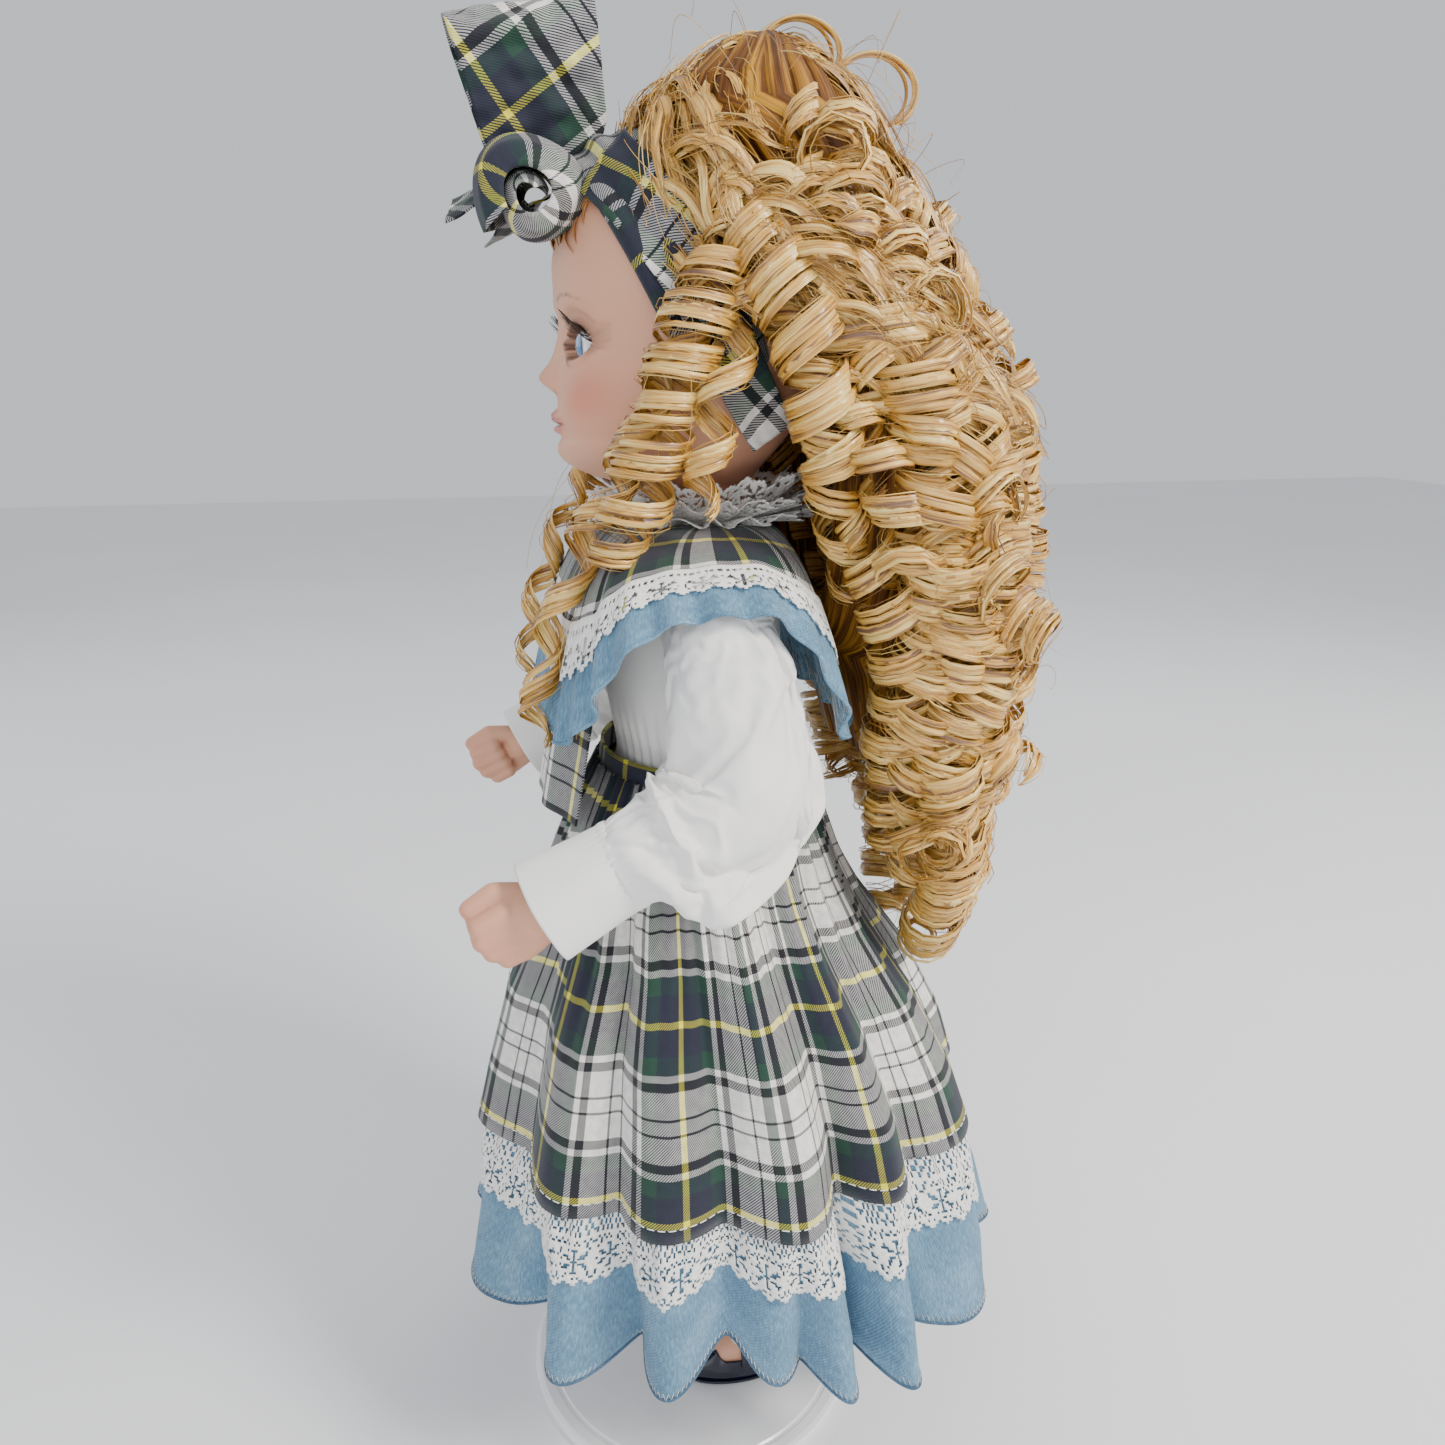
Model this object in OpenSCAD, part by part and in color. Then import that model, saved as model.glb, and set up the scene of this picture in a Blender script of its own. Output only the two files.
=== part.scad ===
// Collectible porcelain doll in a tartan dress, on a telescopic display stand.
// Millimetres. Origin: centre of the underside of the stand's base. +Z up, the doll faces -Y, its left is +X.

/* [Stand] */
// Radius of the round base
base_r = 60; // [57:1:68]
// Thickness of the round base
base_t = 4; // [3.5:0.1:4.2]
// Outside radius of the lower pole
tube_r = 4.5; // [4.2:0.1:5]
// Radius of the sliding upper rod
rod_r = 3; // [2.6:0.1:3.2]
// Distance of the pole behind the base's centre
pole_y = 42; // [41:0.5:43]
// Height of the top of the lower pole
tube_top = 150; // [130:1:160]
// Running gap between the rod and its tube
rod_gap = 0.05; // [0.02:0.01:0.08]

/* [Dress] */
// Number of folds round the skirt
fold_count = 12; // [9:1:16]
// Height of the seam between the tartan and the ruffle
seam_z = 119; // [118:1:120]
// Height of the hem
hem_z = 56; // [50:1:62]
// Thickness of the tartan and denim layers
cloth_t = 1.5; // [1.2:0.1:1.5]
// Depth of the hem's folds, each way
hem_fold = 6; // [3:0.5:8]

/* [Porcelain] */
// Wall of the head and of the shoulder plate
wall = 3; // [2.5:0.1:3.2]
// Radius of the neck
neck_r = 12; // [11:0.1:12.2]
// Radius of a glass eye
eye_r = 8.5; // [8:0.1:9]
// Distance of an eye from the middle
eye_x = 15.5; // [15:0.1:16.5]

/* [Limbs] */
// Radius of the rounded top of a sleeve
sleeve_top_r = 18.5; // [17.5:0.1:18.6]
// Radius of a sleeve round the elbow
elbow_r = 20.5; // [19.5:0.1:20.6]
// Gap between parts that turn past each other
turn_gap = 0.4; // [0.35:0.05:0.6]
// Distance of each leg from the middle
leg_x = 19; // [18:0.5:20]

/* [Hidden] */
$fn = 40;
seg = 28;                      // sides of a plain loft
fold_seg = 5 * fold_count;     // sides of a folded loft
neck_y = 5;                    // the head turns about the vertical line at x = 0, y = neck_y
split_z = 322;                 // hair above turns with the head, hair below lies on the dress
shoulder = [48, 1, 287];       // hinge centre of the left arm
elbow = [68, 2, 252];          // hinge centre of the left elbow
fore_dir = [0, -0.886, -0.464];// way the forearm points
fore_tilt = 90 + 27.6;         // turn about X that brings +Z to the forearm's way
hip = [leg_x, 19, 198];        // hinge centre of the left leg
leg_y = 18;                    // the leg hangs at this distance
sole_z = 4.8;                  // underside of the shoes
band_lean = 62.8;              // lean of the headband's plane
band_mid = [0, 0, 370];        // a point in the headband's plane
band_w = 22;                   // width of the headband

// Outline tables: height, middle in Y, half width in X, half depth in Y, fold depth.
body_tab = [[197, 14, 29, 20, 0], [203, 11, 31, 23, 0], [215, 8.5, 33, 25, 0], [240, 4, 25, 20, 0],
            [262, 2, 29, 22, 0], [285, 2, 29, 20, 0], [297, 3, 26, 13, 0]];
plate_tab = [[284, 1, 33, 24.5, 0], [296, 1.5, 35, 23, 0], [304, 4, 26, 18, 0], [309, neck_y, 15.5, 15.5, 0],
             [317, neck_y, 15.5, 15.5, 0]];
plate_in_tab = [[283, 1, 33, 24.5, 0], [296, 1.5, 35, 23, 0], [305, 4, 15, 15, 0]];
bodice_tab = [[238, 4, 29, 24, 0], [262, 2, 31, 26, 0], [282, 1, 35, 27.5, 0], [296, 1.5, 38, 25.5, 0],
              [305, 4, 30, 21.5, 0], [311, neck_y, 19, 18, 0]];
skirt_tab = [[seam_z, 12, 79, 81, 2.5], [138, 11, 75, 76, 2.4], [165, 8, 68, 67, 2.2],
             [190, 5, 58, 53, 1.8], [208, 3, 51, 46, 1.2], [225, 3, 45, 40, 0.8], [241, 3, 37, 32, 0]];
petti_tab = [[78, 12, 72, 74, 0], [seam_z, 12, 68, 70, 0], [138, 11, 65, 66, 0], [165, 8, 60, 59, 0],
             [190, 5, 53, 49, 0], [208, 3, 47.5, 43.2, 0], [225, 3, 42.2, 37.6, 0], [236, 3, 36, 31.2, 0]];
ruffle_tab = [[hem_z, 15, 90, 97, hem_fold], [74, 14, 88, 93, hem_fold * 0.8],
              [92, 13, 83, 86, hem_fold * 0.6], [104, 12, 80, 82, hem_fold * 0.45],
              [seam_z - 0.8, 12, 76, 78, 2.5], [seam_z + 5, 12, 74.7, 76.7, 2.5]];
// Head: height, front, back, half width.
head_tab = [[309, -7, 17, 12], [323, -7, 17, 12], [327, -24, 20, 17], [331, -33, 23, 24], [337, -36, 28, 30],
            [344, -38, 33, 33.5], [353, -36, 38, 35.5], [363, -33.5, 41, 36], [374, -34.5, 42, 36],
            [385, -35.5, 42, 36], [396, -33, 39, 34], [404, -27, 35, 29.5]];
pate_tab = [[404.3, -27, 35, 29.5], [410, -21, 30, 24], [415, -9, 20, 14], [417.5, -1, 12, 6]];
hair_tab = [[split_z + turn_gap, 42, 61, 64, 0], [348, 39, 61, 60, 0], [370, 32, 57, 53, 0],
            [390, 25, 52, 46, 0],
            [410, 21, 45, 38, 0], [425, 20, 33, 27, 0], [436, 24, 19, 16, 0], [445, 28, 7, 7, 0]];
back_hair_tab = [[168, 83, 18, 6, 0], [180, 85, 34, 11, 0], [205, 85, 44, 19, 0], [245, 78, 52, 22, 0],
                 [272, 79, 58, 28, 0], [300, 77, 60, 31, 0], [split_z - 0.5, 73, 60, 34, 0]];

// ---- lofts -------------------------------------------------------------------------------------
function flat(lists) = [for (l = lists) for (p = l) p];
function sides(a, b, n) = [for (i = [0 : n - 1]) let (j = (i + 1) % n)
    each [[a + i, b + i, b + j], [a + i, b + j, a + j]]];
function turned(faces) = [for (f = faces) [f[0], f[2], f[1]]];
// A table row as a ring of points, moved outwards by off.
function ring(row, off = 0, n = seg) = [for (i = [0 : n - 1])
    let (a = 360 * i / n, w = row[4] * cos(fold_count * a))
    [(row[2] + off + w) * cos(a), row[1] + (row[3] + off + w) * sin(a), row[0]]];
// The head's rings have a front half and a back half of different depth, and the nose.
function nose(x, z) = 5 * exp(-pow(x / 4, 2) - pow((z - 353) / 5, 2));
function head_ring(row, off = 0) = [for (i = [0 : seg - 1])
    let (a = 360 * i / seg, x = (row[3] + off) * cos(a),
         back = row[2] - neck_y + off, front = neck_y - row[1] + off)
    [x, neck_y + (sin(a) > 0 ? back : front) * sin(a) - (sin(a) < 0 ? nose(x, row[0]) : 0), row[0]]];

// A solid through rings, from the lowest to the highest.
module loft(rings) {
    n = len(rings[0]);
    last = (len(rings) - 1) * n;
    polyhedron(flat(rings), concat(
        [for (k = [0 : len(rings) - 2]) each sides(k * n, (k + 1) * n, n)],
        [[for (i = [0 : n - 1]) i], [for (i = [n - 1 : -1 : 0]) last + i]]));
}

// A wall between outer and inner rings, open at both ends.
module wall_between(outer, inner) {
    n = len(outer[0]);
    m = len(outer);
    in0 = m * n;
    top = (m - 1) * n;
    polyhedron(flat(concat(outer, inner)), concat(
        [for (k = [0 : m - 2]) each sides(k * n, (k + 1) * n, n)],
        [for (k = [0 : m - 2]) each turned(sides(in0 + k * n, in0 + (k + 1) * n, n))],
        turned(sides(0, in0, n)), sides(top, in0 + top, n)));
}

module solid(tab, off = 0) { loft([for (r = tab) ring(r, off)]); }
module sheath(tab, t, off = 0, n = seg) {
    wall_between([for (r = tab) ring(r, off, n)], [for (r = tab) ring(r, off - t, n)]);
}
module head_solid(off) { loft([for (r = concat(head_tab, pate_tab)) head_ring(r, off)]); }
module both_sides() { children(); mirror([1, 0, 0]) children(); }
module turned_profile(pts) { rotate_extrude() polygon(pts); }
module arm_rooms() { both_sides() translate(shoulder) sphere(sleeve_top_r + turn_gap); }
module along_forearm(d) { translate(elbow + d * fore_dir) rotate([fore_tilt, 0, 0]) children(); }
// The slab between two planes parallel to the headband, at distances lo and hi from its middle plane.
module band_slab(lo, hi) {
    translate(band_mid) rotate([band_lean - 90, 0, 0]) translate([-100, lo, -120]) cube([200, hi - lo, 240]);
}

// ---- stand -------------------------------------------------------------------------------------
module stand_base() {
    color("white") difference() {
        turned_profile([[0, 0], [base_r - 0.8, 0], [base_r, 0.8], [base_r, base_t - 1.4],
            [base_r - 0.5, base_t - 0.5], [base_r - 1.8, base_t], [base_r - 5, base_t],
            [base_r - 5.6, base_t - 0.5], [base_r - 6.6, base_t - 0.5], [base_r - 7.2, base_t],
            [0, base_t]]);
        translate([0, pole_y, 1.5]) cylinder(r = tube_r, h = base_t);
    }
}
module stand_tube() {
    color("white") difference() {
        union() {
            translate([0, pole_y, 1.5]) cylinder(r = tube_r, h = tube_top - 1.5);
            translate([0, pole_y, base_t]) turned_profile([[0, 0], [8, 0], [8, 1.5], [5.5, 5], [0, 5]]);
        }
        translate([0, pole_y, 6]) cylinder(r = rod_r + rod_gap, h = tube_top);
        translate([0, pole_y, tube_top - 6]) rotate([-90, 0, 0]) cylinder(r = 1.7, h = 12);
    }
}
module tube_collar() {
    color("white") translate([0, pole_y, tube_top - 11]) difference() {
        turned_profile([[tube_r, 0], [7, 0], [8, 1], [8, 9], [7, 10], [tube_r, 10]]);
        translate([0, 0, 5]) rotate([-90, 0, 0]) cylinder(r = 1.7, h = 12);
    }
}
module set_screw() {
    color("gainsboro") translate([0, pole_y, tube_top - 6]) rotate([-90, 0, 0]) {
        translate([0, 0, rod_r + 0.1]) cylinder(r = 1.6, h = 7);
        difference() {
            translate([0, 0, rod_r + 7]) cylinder(r = 4.5, h = 4);
            for (i = [0 : 9]) rotate(36 * i) translate([5.1, 0, 0]) cylinder(r = 1, h = 20);
        }
    }
}
clip_z = 228;                  // height of the waist clip
clip_ring_r = 31.5;            // radius of the clip's wire ring
clip_gap = 38;                 // half of the clip's opening, in degrees
module stand_rod() {
    color("white") {
        translate([0, pole_y, 55]) cylinder(r = rod_r, h = 150);
        translate([0, pole_y, 205]) sphere(rod_r);
    }
}
module waist_clip() {
    color("silver") {
        translate([0, 3, clip_z]) rotate(-90 + clip_gap) rotate_extrude(angle = 360 - 2 * clip_gap)
            translate([clip_ring_r, 0]) circle(1.4);
        difference() {
            union() {
                translate([0, pole_y, 190]) cylinder(r = rod_r + 1.2, h = 10);
                hull() {
                    translate([0, pole_y - 3, 196]) sphere(1.8);
                    translate([0, clip_ring_r + 3.4, clip_z - 2]) sphere(1.8);
                }
            }
            translate([0, pole_y, 180]) cylinder(r = rod_r, h = 25);
            translate([0, pole_y, 205]) sphere(rod_r);
        }
    }
}
module clip_tips() {
    color("white") both_sides() translate([0, 3, clip_z]) rotate(-90 + clip_gap - 14)
        rotate_extrude(angle = 14) translate([clip_ring_r, 0]) circle(2);
}

// ---- figure ------------------------------------------------------------------------------------
module body_cloth() {
    color("antiquewhite") difference() {
        solid(body_tab);
        arm_rooms();
        both_sides() translate(hip) sphere(15.2);
    }
}
module shoulder_plate() {
    color("peachpuff") difference() {
        solid(plate_tab);
        solid(plate_in_tab, -wall);
        translate([0, neck_y, 308]) cylinder(r = neck_r + 0.1, h = 20);
        translate([0, neck_y, 290]) cylinder(r = 2.55, h = 30);
        arm_rooms();
    }
}
module neck_washer() {
    color("tan") translate([0, neck_y, 300.6]) difference() {
        cylinder(r = 8, h = 1.4);
        translate([0, 0, -1]) cylinder(r = 2.7, h = 4);
    }
}
module neck_bolt() {
    color("silver") translate([0, neck_y, 0]) {
        translate([0, 0, 298.2]) cylinder(r = 4.5, h = 2.1, $fn = 6);
        translate([0, 0, 297.8]) cylinder(r = 2.5, h = 19);
        translate([0, 0, 316.1]) cylinder(r = 4, h = 2);
    }
}
module neck_plug() {
    color("burlywood") translate([0, neck_y, 311]) difference() {
        cylinder(r = neck_r - wall - 0.4, h = 5);
        translate([0, 0, -1]) cylinder(r = 2.6, h = 8);
    }
}
module blouse_bodice() {
    color("whitesmoke") difference() {
        sheath(bodice_tab, 1.2);
        arm_rooms();
    }
}
module neck_ruffle() {
    rows = [[312, neck_y, 18, 18, 0], [315.6, neck_y, 20, 20, 0.8], [317.4, neck_y, 23, 24, 1.5],
            [319.4, neck_y, 26, 28, 2]];
    color("white") sheath(rows, 1.2, 0, fold_seg);
}

// The collar runs from the neck (s = 0) over the shoulders to its edge (s = 1).
function corner(v, r) = r * sign(v) * sqrt(abs(v));
function collar_end(a, k) = let (low = pow(abs(sin(a)), 1.5), depth = sin(a) < 0 ? 43 : 40)
    k == 0 ? [20.5 * cos(a), neck_y - 1 + 20 * sin(a), 315.4 - 1.4 * low]
    : k == 1 ? [0.69 * corner(cos(a), 62), 0.74 * corner(sin(a), depth), 312 - 10.5 * low]
    : [corner(cos(a), 62), corner(sin(a), depth), 302 - 34 * low];
function collar_point(a, s) = (1 - s) * (1 - 2 * s) * collar_end(a, 0) + 4 * s * (1 - s) * collar_end(a, 1)
    + s * (2 * s - 1) * collar_end(a, 2);
function collar_ring(s, up) = [for (i = [0 : 47]) collar_point(360 * i / 48, s) + [0, 0, up]];
module collar_strip(s0, s1, t, up = 0) {
    steps = [s1, (s0 + s1) / 2, s0];
    wall_between([for (s = steps) collar_ring(s, up)], [for (s = steps) collar_ring(s, up - t)]);
}
module collar_tartan() { color("darkslategray") collar_strip(0, 0.8, 1.3); }
module collar_lace() { color("white") collar_strip(0.7, 0.86, 0.6, 0.9); }
module collar_denim() { color("lightsteelblue") collar_strip(0.805, 1, 1.3); }
module bib_front() {
    color("darkslategray") rotate([90, 0, 90]) translate([0, 0, -26]) linear_extrude(52)
        polygon([[-42.6, 265.5], [-45.5, 252], [-46, 232], [-44.4, 232], [-43.9, 252], [-41, 265.5]]);
}
module waistband() { color("darkslategray") sheath([[238, 3, 34, 29, 0], [246, 3, 33, 28, 0]], 1.6); }
module waist_loop() {
    color("gold") translate([33.5, 21.5, 244]) rotate([0, 90, 30])
        rotate_extrude() translate([2.4, 0]) circle(0.4);
}
module skirt() { color("darkslategray") sheath(skirt_tab, cloth_t, 0, fold_seg); }
module skirt_lace() {
    rows = [for (k = [2 : 4]) ruffle_tab[k]];
    color("white") sheath(rows, 0.7, 1.1, fold_seg);
}
module denim_ruffle() { color("lightsteelblue") sheath(ruffle_tab, cloth_t, 0, fold_seg); }
module petticoat() { color("white") sheath(petti_tab, 1); }

// ---- hair --------------------------------------------------------------------------------------
module hair_back() { color("goldenrod") solid(back_hair_tab); }
module hair_front() {
    points = [[30, -35, 312], [31, -43, 296], [32, -51, 276], [32, -52, 258]];
    for (k = [0 : 2]) hull() {
        translate(points[k]) sphere(6.5, $fn = 20);
        translate(points[k + 1]) sphere(6.5, $fn = 20);
    }
}
module hair_front_left() { color("goldenrod") hair_front(); }
module hair_front_right() { color("goldenrod") mirror([1, 0, 0]) hair_front(); }
module wig_cap() {
    color("tan") intersection() {
        wall_between([for (r = head_tab) head_ring(r, 1.2)], [for (r = head_tab) head_ring(r, 0.3)]);
        band_slab(-8, 90);
        translate([-60, -60, 340]) cube([120, 120, 60]);
    }
}
module hair_crown() {
    color("goldenrod") difference() {
        intersection() {
            solid(hair_tab);
            band_slab(band_w / 2 + 0.5, 140);
        }
        head_solid(1.6);
        translate([0, neck_y, split_z - 1]) cylinder(r = 24, h = 12);
    }
}
module hair_bangs() {
    color("goldenrod") difference() {
        intersection() {
            head_solid(7);
            band_slab(-60, -band_w / 2 - 0.5);
            translate([-30, -60, 386]) cube([60, 60, 7.5]);
        }
        head_solid(0.4);
        rolled_loop_at() cylinder(r1 = 7.4, r2 = 13.6, h = 27);
    }
}
module side_curls() {
    color("goldenrod") both_sides() for (p = [[48, -12, 378, 8], [51, -16, 356, 8.5], [50, -12, 334, 8]])
        translate([p[0], p[1], p[2]]) sphere(p[3]);
}

// ---- head --------------------------------------------------------------------------------------
module head_shell() {
    color("peachpuff") difference() {
        wall_between([for (r = head_tab) head_ring(r)], [for (r = head_tab) head_ring(r, -wall)]);
        both_sides() translate([eye_x, -22.5, 363]) sphere(eye_r + 0.3);
    }
}
module eye() { translate([eye_x, -22.5, 363]) sphere(eye_r); }
module left_eye() { color("steelblue") eye(); }
module right_eye() { color("steelblue") mirror([1, 0, 0]) eye(); }
module crown_pate() { color("wheat") loft([for (r = pate_tab) head_ring(r)]); }
module headband() {
    color("darkslategray") difference() {
        intersection() {
            head_solid(3.2);
            band_slab(-band_w / 2, band_w / 2);
        }
        head_solid(1.6);
        translate([0, neck_y, split_z - 15]) cylinder(r = 30, h = 22);
    }
}

// The bow stands on the front of the head, one loop upright and one rolled towards the doll's left.
module ribbon_outline(w, h) {
    hull() {
        translate([0, h - w / 2]) circle(w / 2);
        translate([0, w / 6]) circle(w / 6);
    }
}
module ribbon_loop(w, h, t) {
    difference() {
        ribbon_outline(w, h);
        offset(delta = -t) ribbon_outline(w, h);
    }
}
module rolled_loop_at() { translate([9, -38, 400.5]) rotate([0, 90, 0]) children(); }
module bow_upright_loop() {
    color("darkslategray") translate([-6, -40, 410]) rotate([101, 0, 0])
        translate([0, 0, -19]) linear_extrude(38) ribbon_loop(16, 37, 1);
}
module bow_rolled_loop() {
    color("darkslategray") rolled_loop_at() difference() {
        cylinder(r1 = 7, r2 = 13, h = 26);
        translate([0, 0, 1]) cylinder(r1 = 6, r2 = 12.2, h = 26);
    }
}
module bow_knot() {
    color("darkslategray") translate([-1, -38, 400.5]) rotate([0, 90, 0]) cylinder(r = 6.5, h = 9.5);
}
module bow_tails() {
    color("darkslategray") for (p = [[-10, -57, 30], [-19, -44, 10]]) translate([p[0], p[1], 398])
        rotate([0, 0, p[2]]) linear_extrude(1.2) polygon([[-7, -6], [8, -9], [8, 9], [-7, 6]]);
}

// ---- arms --------------------------------------------------------------------------------------
module upper_arm() {
    translate(shoulder) sphere(sleeve_top_r - 2);
    hull() {
        translate(shoulder) sphere(11, $fn = 28);
        translate(elbow) sphere(9, $fn = 28);
    }
}
module upper_sleeve() {
    difference() {
        union() {
            translate(shoulder) sphere(sleeve_top_r);
            translate(elbow) sphere(elbow_r);
            hull() {
                translate(shoulder) sphere(sleeve_top_r - 0.1, $fn = 32);
                translate(elbow) sphere(elbow_r - 0.1, $fn = 32);
            }
        }
        translate(shoulder) sphere(sleeve_top_r - 1.5);
        hull() {
            translate(shoulder) sphere(sleeve_top_r - 1.7, $fn = 32);
            translate(elbow) sphere(elbow_r - 1.7, $fn = 32);
        }
        translate(shoulder) rotate([0, -90, 0]) cylinder(r = 12, h = 30);
        along_forearm(0) cylinder(r = 16.5, h = 40);
    }
}
module forearm() {
    along_forearm(11.5) cylinder(r1 = 8.2, r2 = 6.8, h = 46.5);
    hull() {
        along_forearm(57) sphere(7, $fn = 28);
        along_forearm(66) translate([0, -3, 0]) sphere(7.5, $fn = 28);
    }
    hull() {
        along_forearm(66) translate([0, -3, 0]) sphere(7.5, $fn = 28);
        along_forearm(67) translate([-2, -9, 0]) sphere(6, $fn = 28);
    }
}
module at_elbow(bend) { translate(elbow) rotate([bend, 0, 0]) translate(-elbow) children(); }
module lower_sleeve() {
    difference() {
        along_forearm(6) turned_profile([[18, 0], [19.6, 0], [19.6, 6], [18, 14], [14.6, 22], [11.4, 27.5],
            [10, 27.5], [13.2, 21], [16.5, 13], [18, 6]], $fn = 28);
        for (bend = [-20.5, -15, -9, -3, 3, 9, 15, 20.5]) at_elbow(bend) hull() {
            translate(shoulder) sphere(sleeve_top_r + 1, $fn = 20);
            translate(elbow) sphere(elbow_r + turn_gap + 0.4, $fn = 20);
        }
    }
}
module cuff() {
    along_forearm(33.6) turned_profile([[9.2, 0], [11.2, 0], [12, 3], [13.4, 24], [12.2, 24], [10.8, 3]]);
}
module left_upper_arm() { color("antiquewhite") upper_arm(); }
module left_upper_sleeve() { color("white") upper_sleeve(); }
module left_forearm() { color("peachpuff") forearm(); }
module left_lower_sleeve() { color("white") lower_sleeve(); }
module left_cuff() { color("white") cuff(); }
module right_upper_arm() { color("antiquewhite") mirror([1, 0, 0]) upper_arm(); }
module right_upper_sleeve() { color("white") mirror([1, 0, 0]) upper_sleeve(); }
module right_forearm() { color("peachpuff") mirror([1, 0, 0]) forearm(); }
module right_lower_sleeve() { color("white") mirror([1, 0, 0]) lower_sleeve(); }
module right_cuff() { color("white") mirror([1, 0, 0]) cuff(); }

// ---- legs --------------------------------------------------------------------------------------
knee_z = 112;                  // the stuffed thigh is tied to the porcelain leg here
leg_profile = [[0, 14], [7, 14], [7.2, 28], [9.5, 50], [12, 80], [11, 100], [10, knee_z - 0.2],
               [0, knee_z - 0.2]];
module on_leg() { translate([leg_x, leg_y, 0]) children(); }
module thigh() {
    translate(hip) sphere(14);
    hull() {
        translate(hip) sphere(13.5, $fn = 28);
        on_leg() translate([0, 0, knee_z]) cylinder(r = 11, h = 8, $fn = 28);
    }
}
module foot(grow) {
    hull() {
        on_leg() translate([0, 6, 13]) sphere(6.5 + grow, $fn = 24);
        on_leg() translate([0, -4, 14]) sphere(6.5 + grow, $fn = 24);
        on_leg() translate([0, -16, 11]) sphere(4.5 + grow, $fn = 24);
    }
}
module lower_leg() {
    on_leg() turned_profile(leg_profile);
    foot(0);
}
module sock() {
    on_leg() turned_profile([[7.5, 21.5], [8.5, 21.5], [8.5, 30], [10.6, 52], [11.4, 58], [10.4, 58],
        [9.9, 52], [7.6, 30]]);
}
module shoe() {
    difference() {
        union() {
            hull() {
                on_leg() translate([0, 8, 12]) sphere(7.1, $fn = 24);
                on_leg() translate([0, -4, 12]) sphere(7.5, $fn = 24);
                on_leg() translate([0, -18, 12.2]) sphere(7.4, $fn = 24);
            }
            on_leg() translate([0, -5, sole_z]) linear_extrude(2.4) hull() {
                translate([0, 13.5]) circle(6.8, $fn = 28);
                translate([0, -13]) circle(7.6, $fn = 28);
            }
        }
        foot(0.3);
        on_leg() translate([0, 0, 8]) cylinder(r = 8.8, h = 30);
        on_leg() translate([-20, -10, 14.5]) cube([40, 40, 30]);
    }
}
module shoe_strap() {
    on_leg() translate([0, 0, 15.4]) difference() {
        cylinder(r = 10.2, h = 3.4);
        translate([0, 0, -1]) cylinder(r = 8.9, h = 6);
        foot_room();
    }
}
module foot_room() { translate([-leg_x, -leg_y, -15.4]) foot(0.3); }
module left_thigh() { color("antiquewhite") thigh(); }
module left_lower_leg() { color("peachpuff") lower_leg(); }
module left_sock() { color("white") sock(); }
module left_shoe() { color("midnightblue") shoe(); }
module left_shoe_strap() { color("midnightblue") shoe_strap(); }
module right_thigh() { color("antiquewhite") mirror([1, 0, 0]) thigh(); }
module right_lower_leg() { color("peachpuff") mirror([1, 0, 0]) lower_leg(); }
module right_sock() { color("white") mirror([1, 0, 0]) sock(); }
module right_shoe() { color("midnightblue") mirror([1, 0, 0]) shoe(); }
module right_shoe_strap() { color("midnightblue") mirror([1, 0, 0]) shoe_strap(); }

stand_base();
stand_tube();
tube_collar();
set_screw();
stand_rod();
waist_clip();
clip_tips();
body_cloth();
shoulder_plate();
neck_washer();
blouse_bodice();
neck_ruffle();
collar_tartan();
collar_lace();
collar_denim();
bib_front();
waistband();
waist_loop();
skirt();
skirt_lace();
denim_ruffle();
petticoat();
hair_back();
hair_front_left();
hair_front_right();
head_shell();
left_eye();
right_eye();
crown_pate();
wig_cap();
hair_crown();
hair_bangs();
side_curls();
headband();
bow_upright_loop();
bow_rolled_loop();
bow_knot();
bow_tails();
neck_plug();
neck_bolt();
left_upper_arm();
left_upper_sleeve();
left_forearm();
left_lower_sleeve();
left_cuff();
right_upper_arm();
right_upper_sleeve();
right_forearm();
right_lower_sleeve();
right_cuff();
left_thigh();
left_lower_leg();
left_sock();
left_shoe();
left_shoe_strap();
right_thigh();
right_lower_leg();
right_sock();
right_shoe();
right_shoe_strap();
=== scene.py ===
import math

import bmesh
import bpy
import numpy as np
from bpy.props import FloatProperty, FloatVectorProperty, IntProperty
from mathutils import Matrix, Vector, noise


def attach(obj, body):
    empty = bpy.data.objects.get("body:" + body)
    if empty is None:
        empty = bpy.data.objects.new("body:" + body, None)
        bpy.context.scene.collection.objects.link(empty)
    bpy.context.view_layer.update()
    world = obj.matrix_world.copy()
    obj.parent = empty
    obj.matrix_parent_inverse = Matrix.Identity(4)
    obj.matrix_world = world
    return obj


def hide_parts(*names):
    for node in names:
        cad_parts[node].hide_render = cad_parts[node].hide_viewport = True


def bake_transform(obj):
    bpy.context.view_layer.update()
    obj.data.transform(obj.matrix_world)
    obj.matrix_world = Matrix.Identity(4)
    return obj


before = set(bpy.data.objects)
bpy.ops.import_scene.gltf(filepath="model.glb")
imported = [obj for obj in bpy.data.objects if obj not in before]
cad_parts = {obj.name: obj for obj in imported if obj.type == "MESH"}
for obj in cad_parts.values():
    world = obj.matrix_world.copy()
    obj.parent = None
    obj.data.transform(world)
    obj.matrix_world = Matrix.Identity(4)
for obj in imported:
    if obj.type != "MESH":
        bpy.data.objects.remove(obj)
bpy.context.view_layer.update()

bl_info = {
    "name": "Porcelain doll",
    "version": (1, 0, 0),
    "blender": (4, 5, 0),
    "location": "View3D > Sidebar > Doll",
    "description": "Dresses a porcelain doll and its stand, piece by piece, round its packed frame",
    "category": "Object",
}

MM = 0.001                     # points are worked out in millimetres and stored in metres
UV_MM = 0.01                   # one UV unit is 100 mm of cloth or hair
TAU = 2 * math.pi


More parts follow.
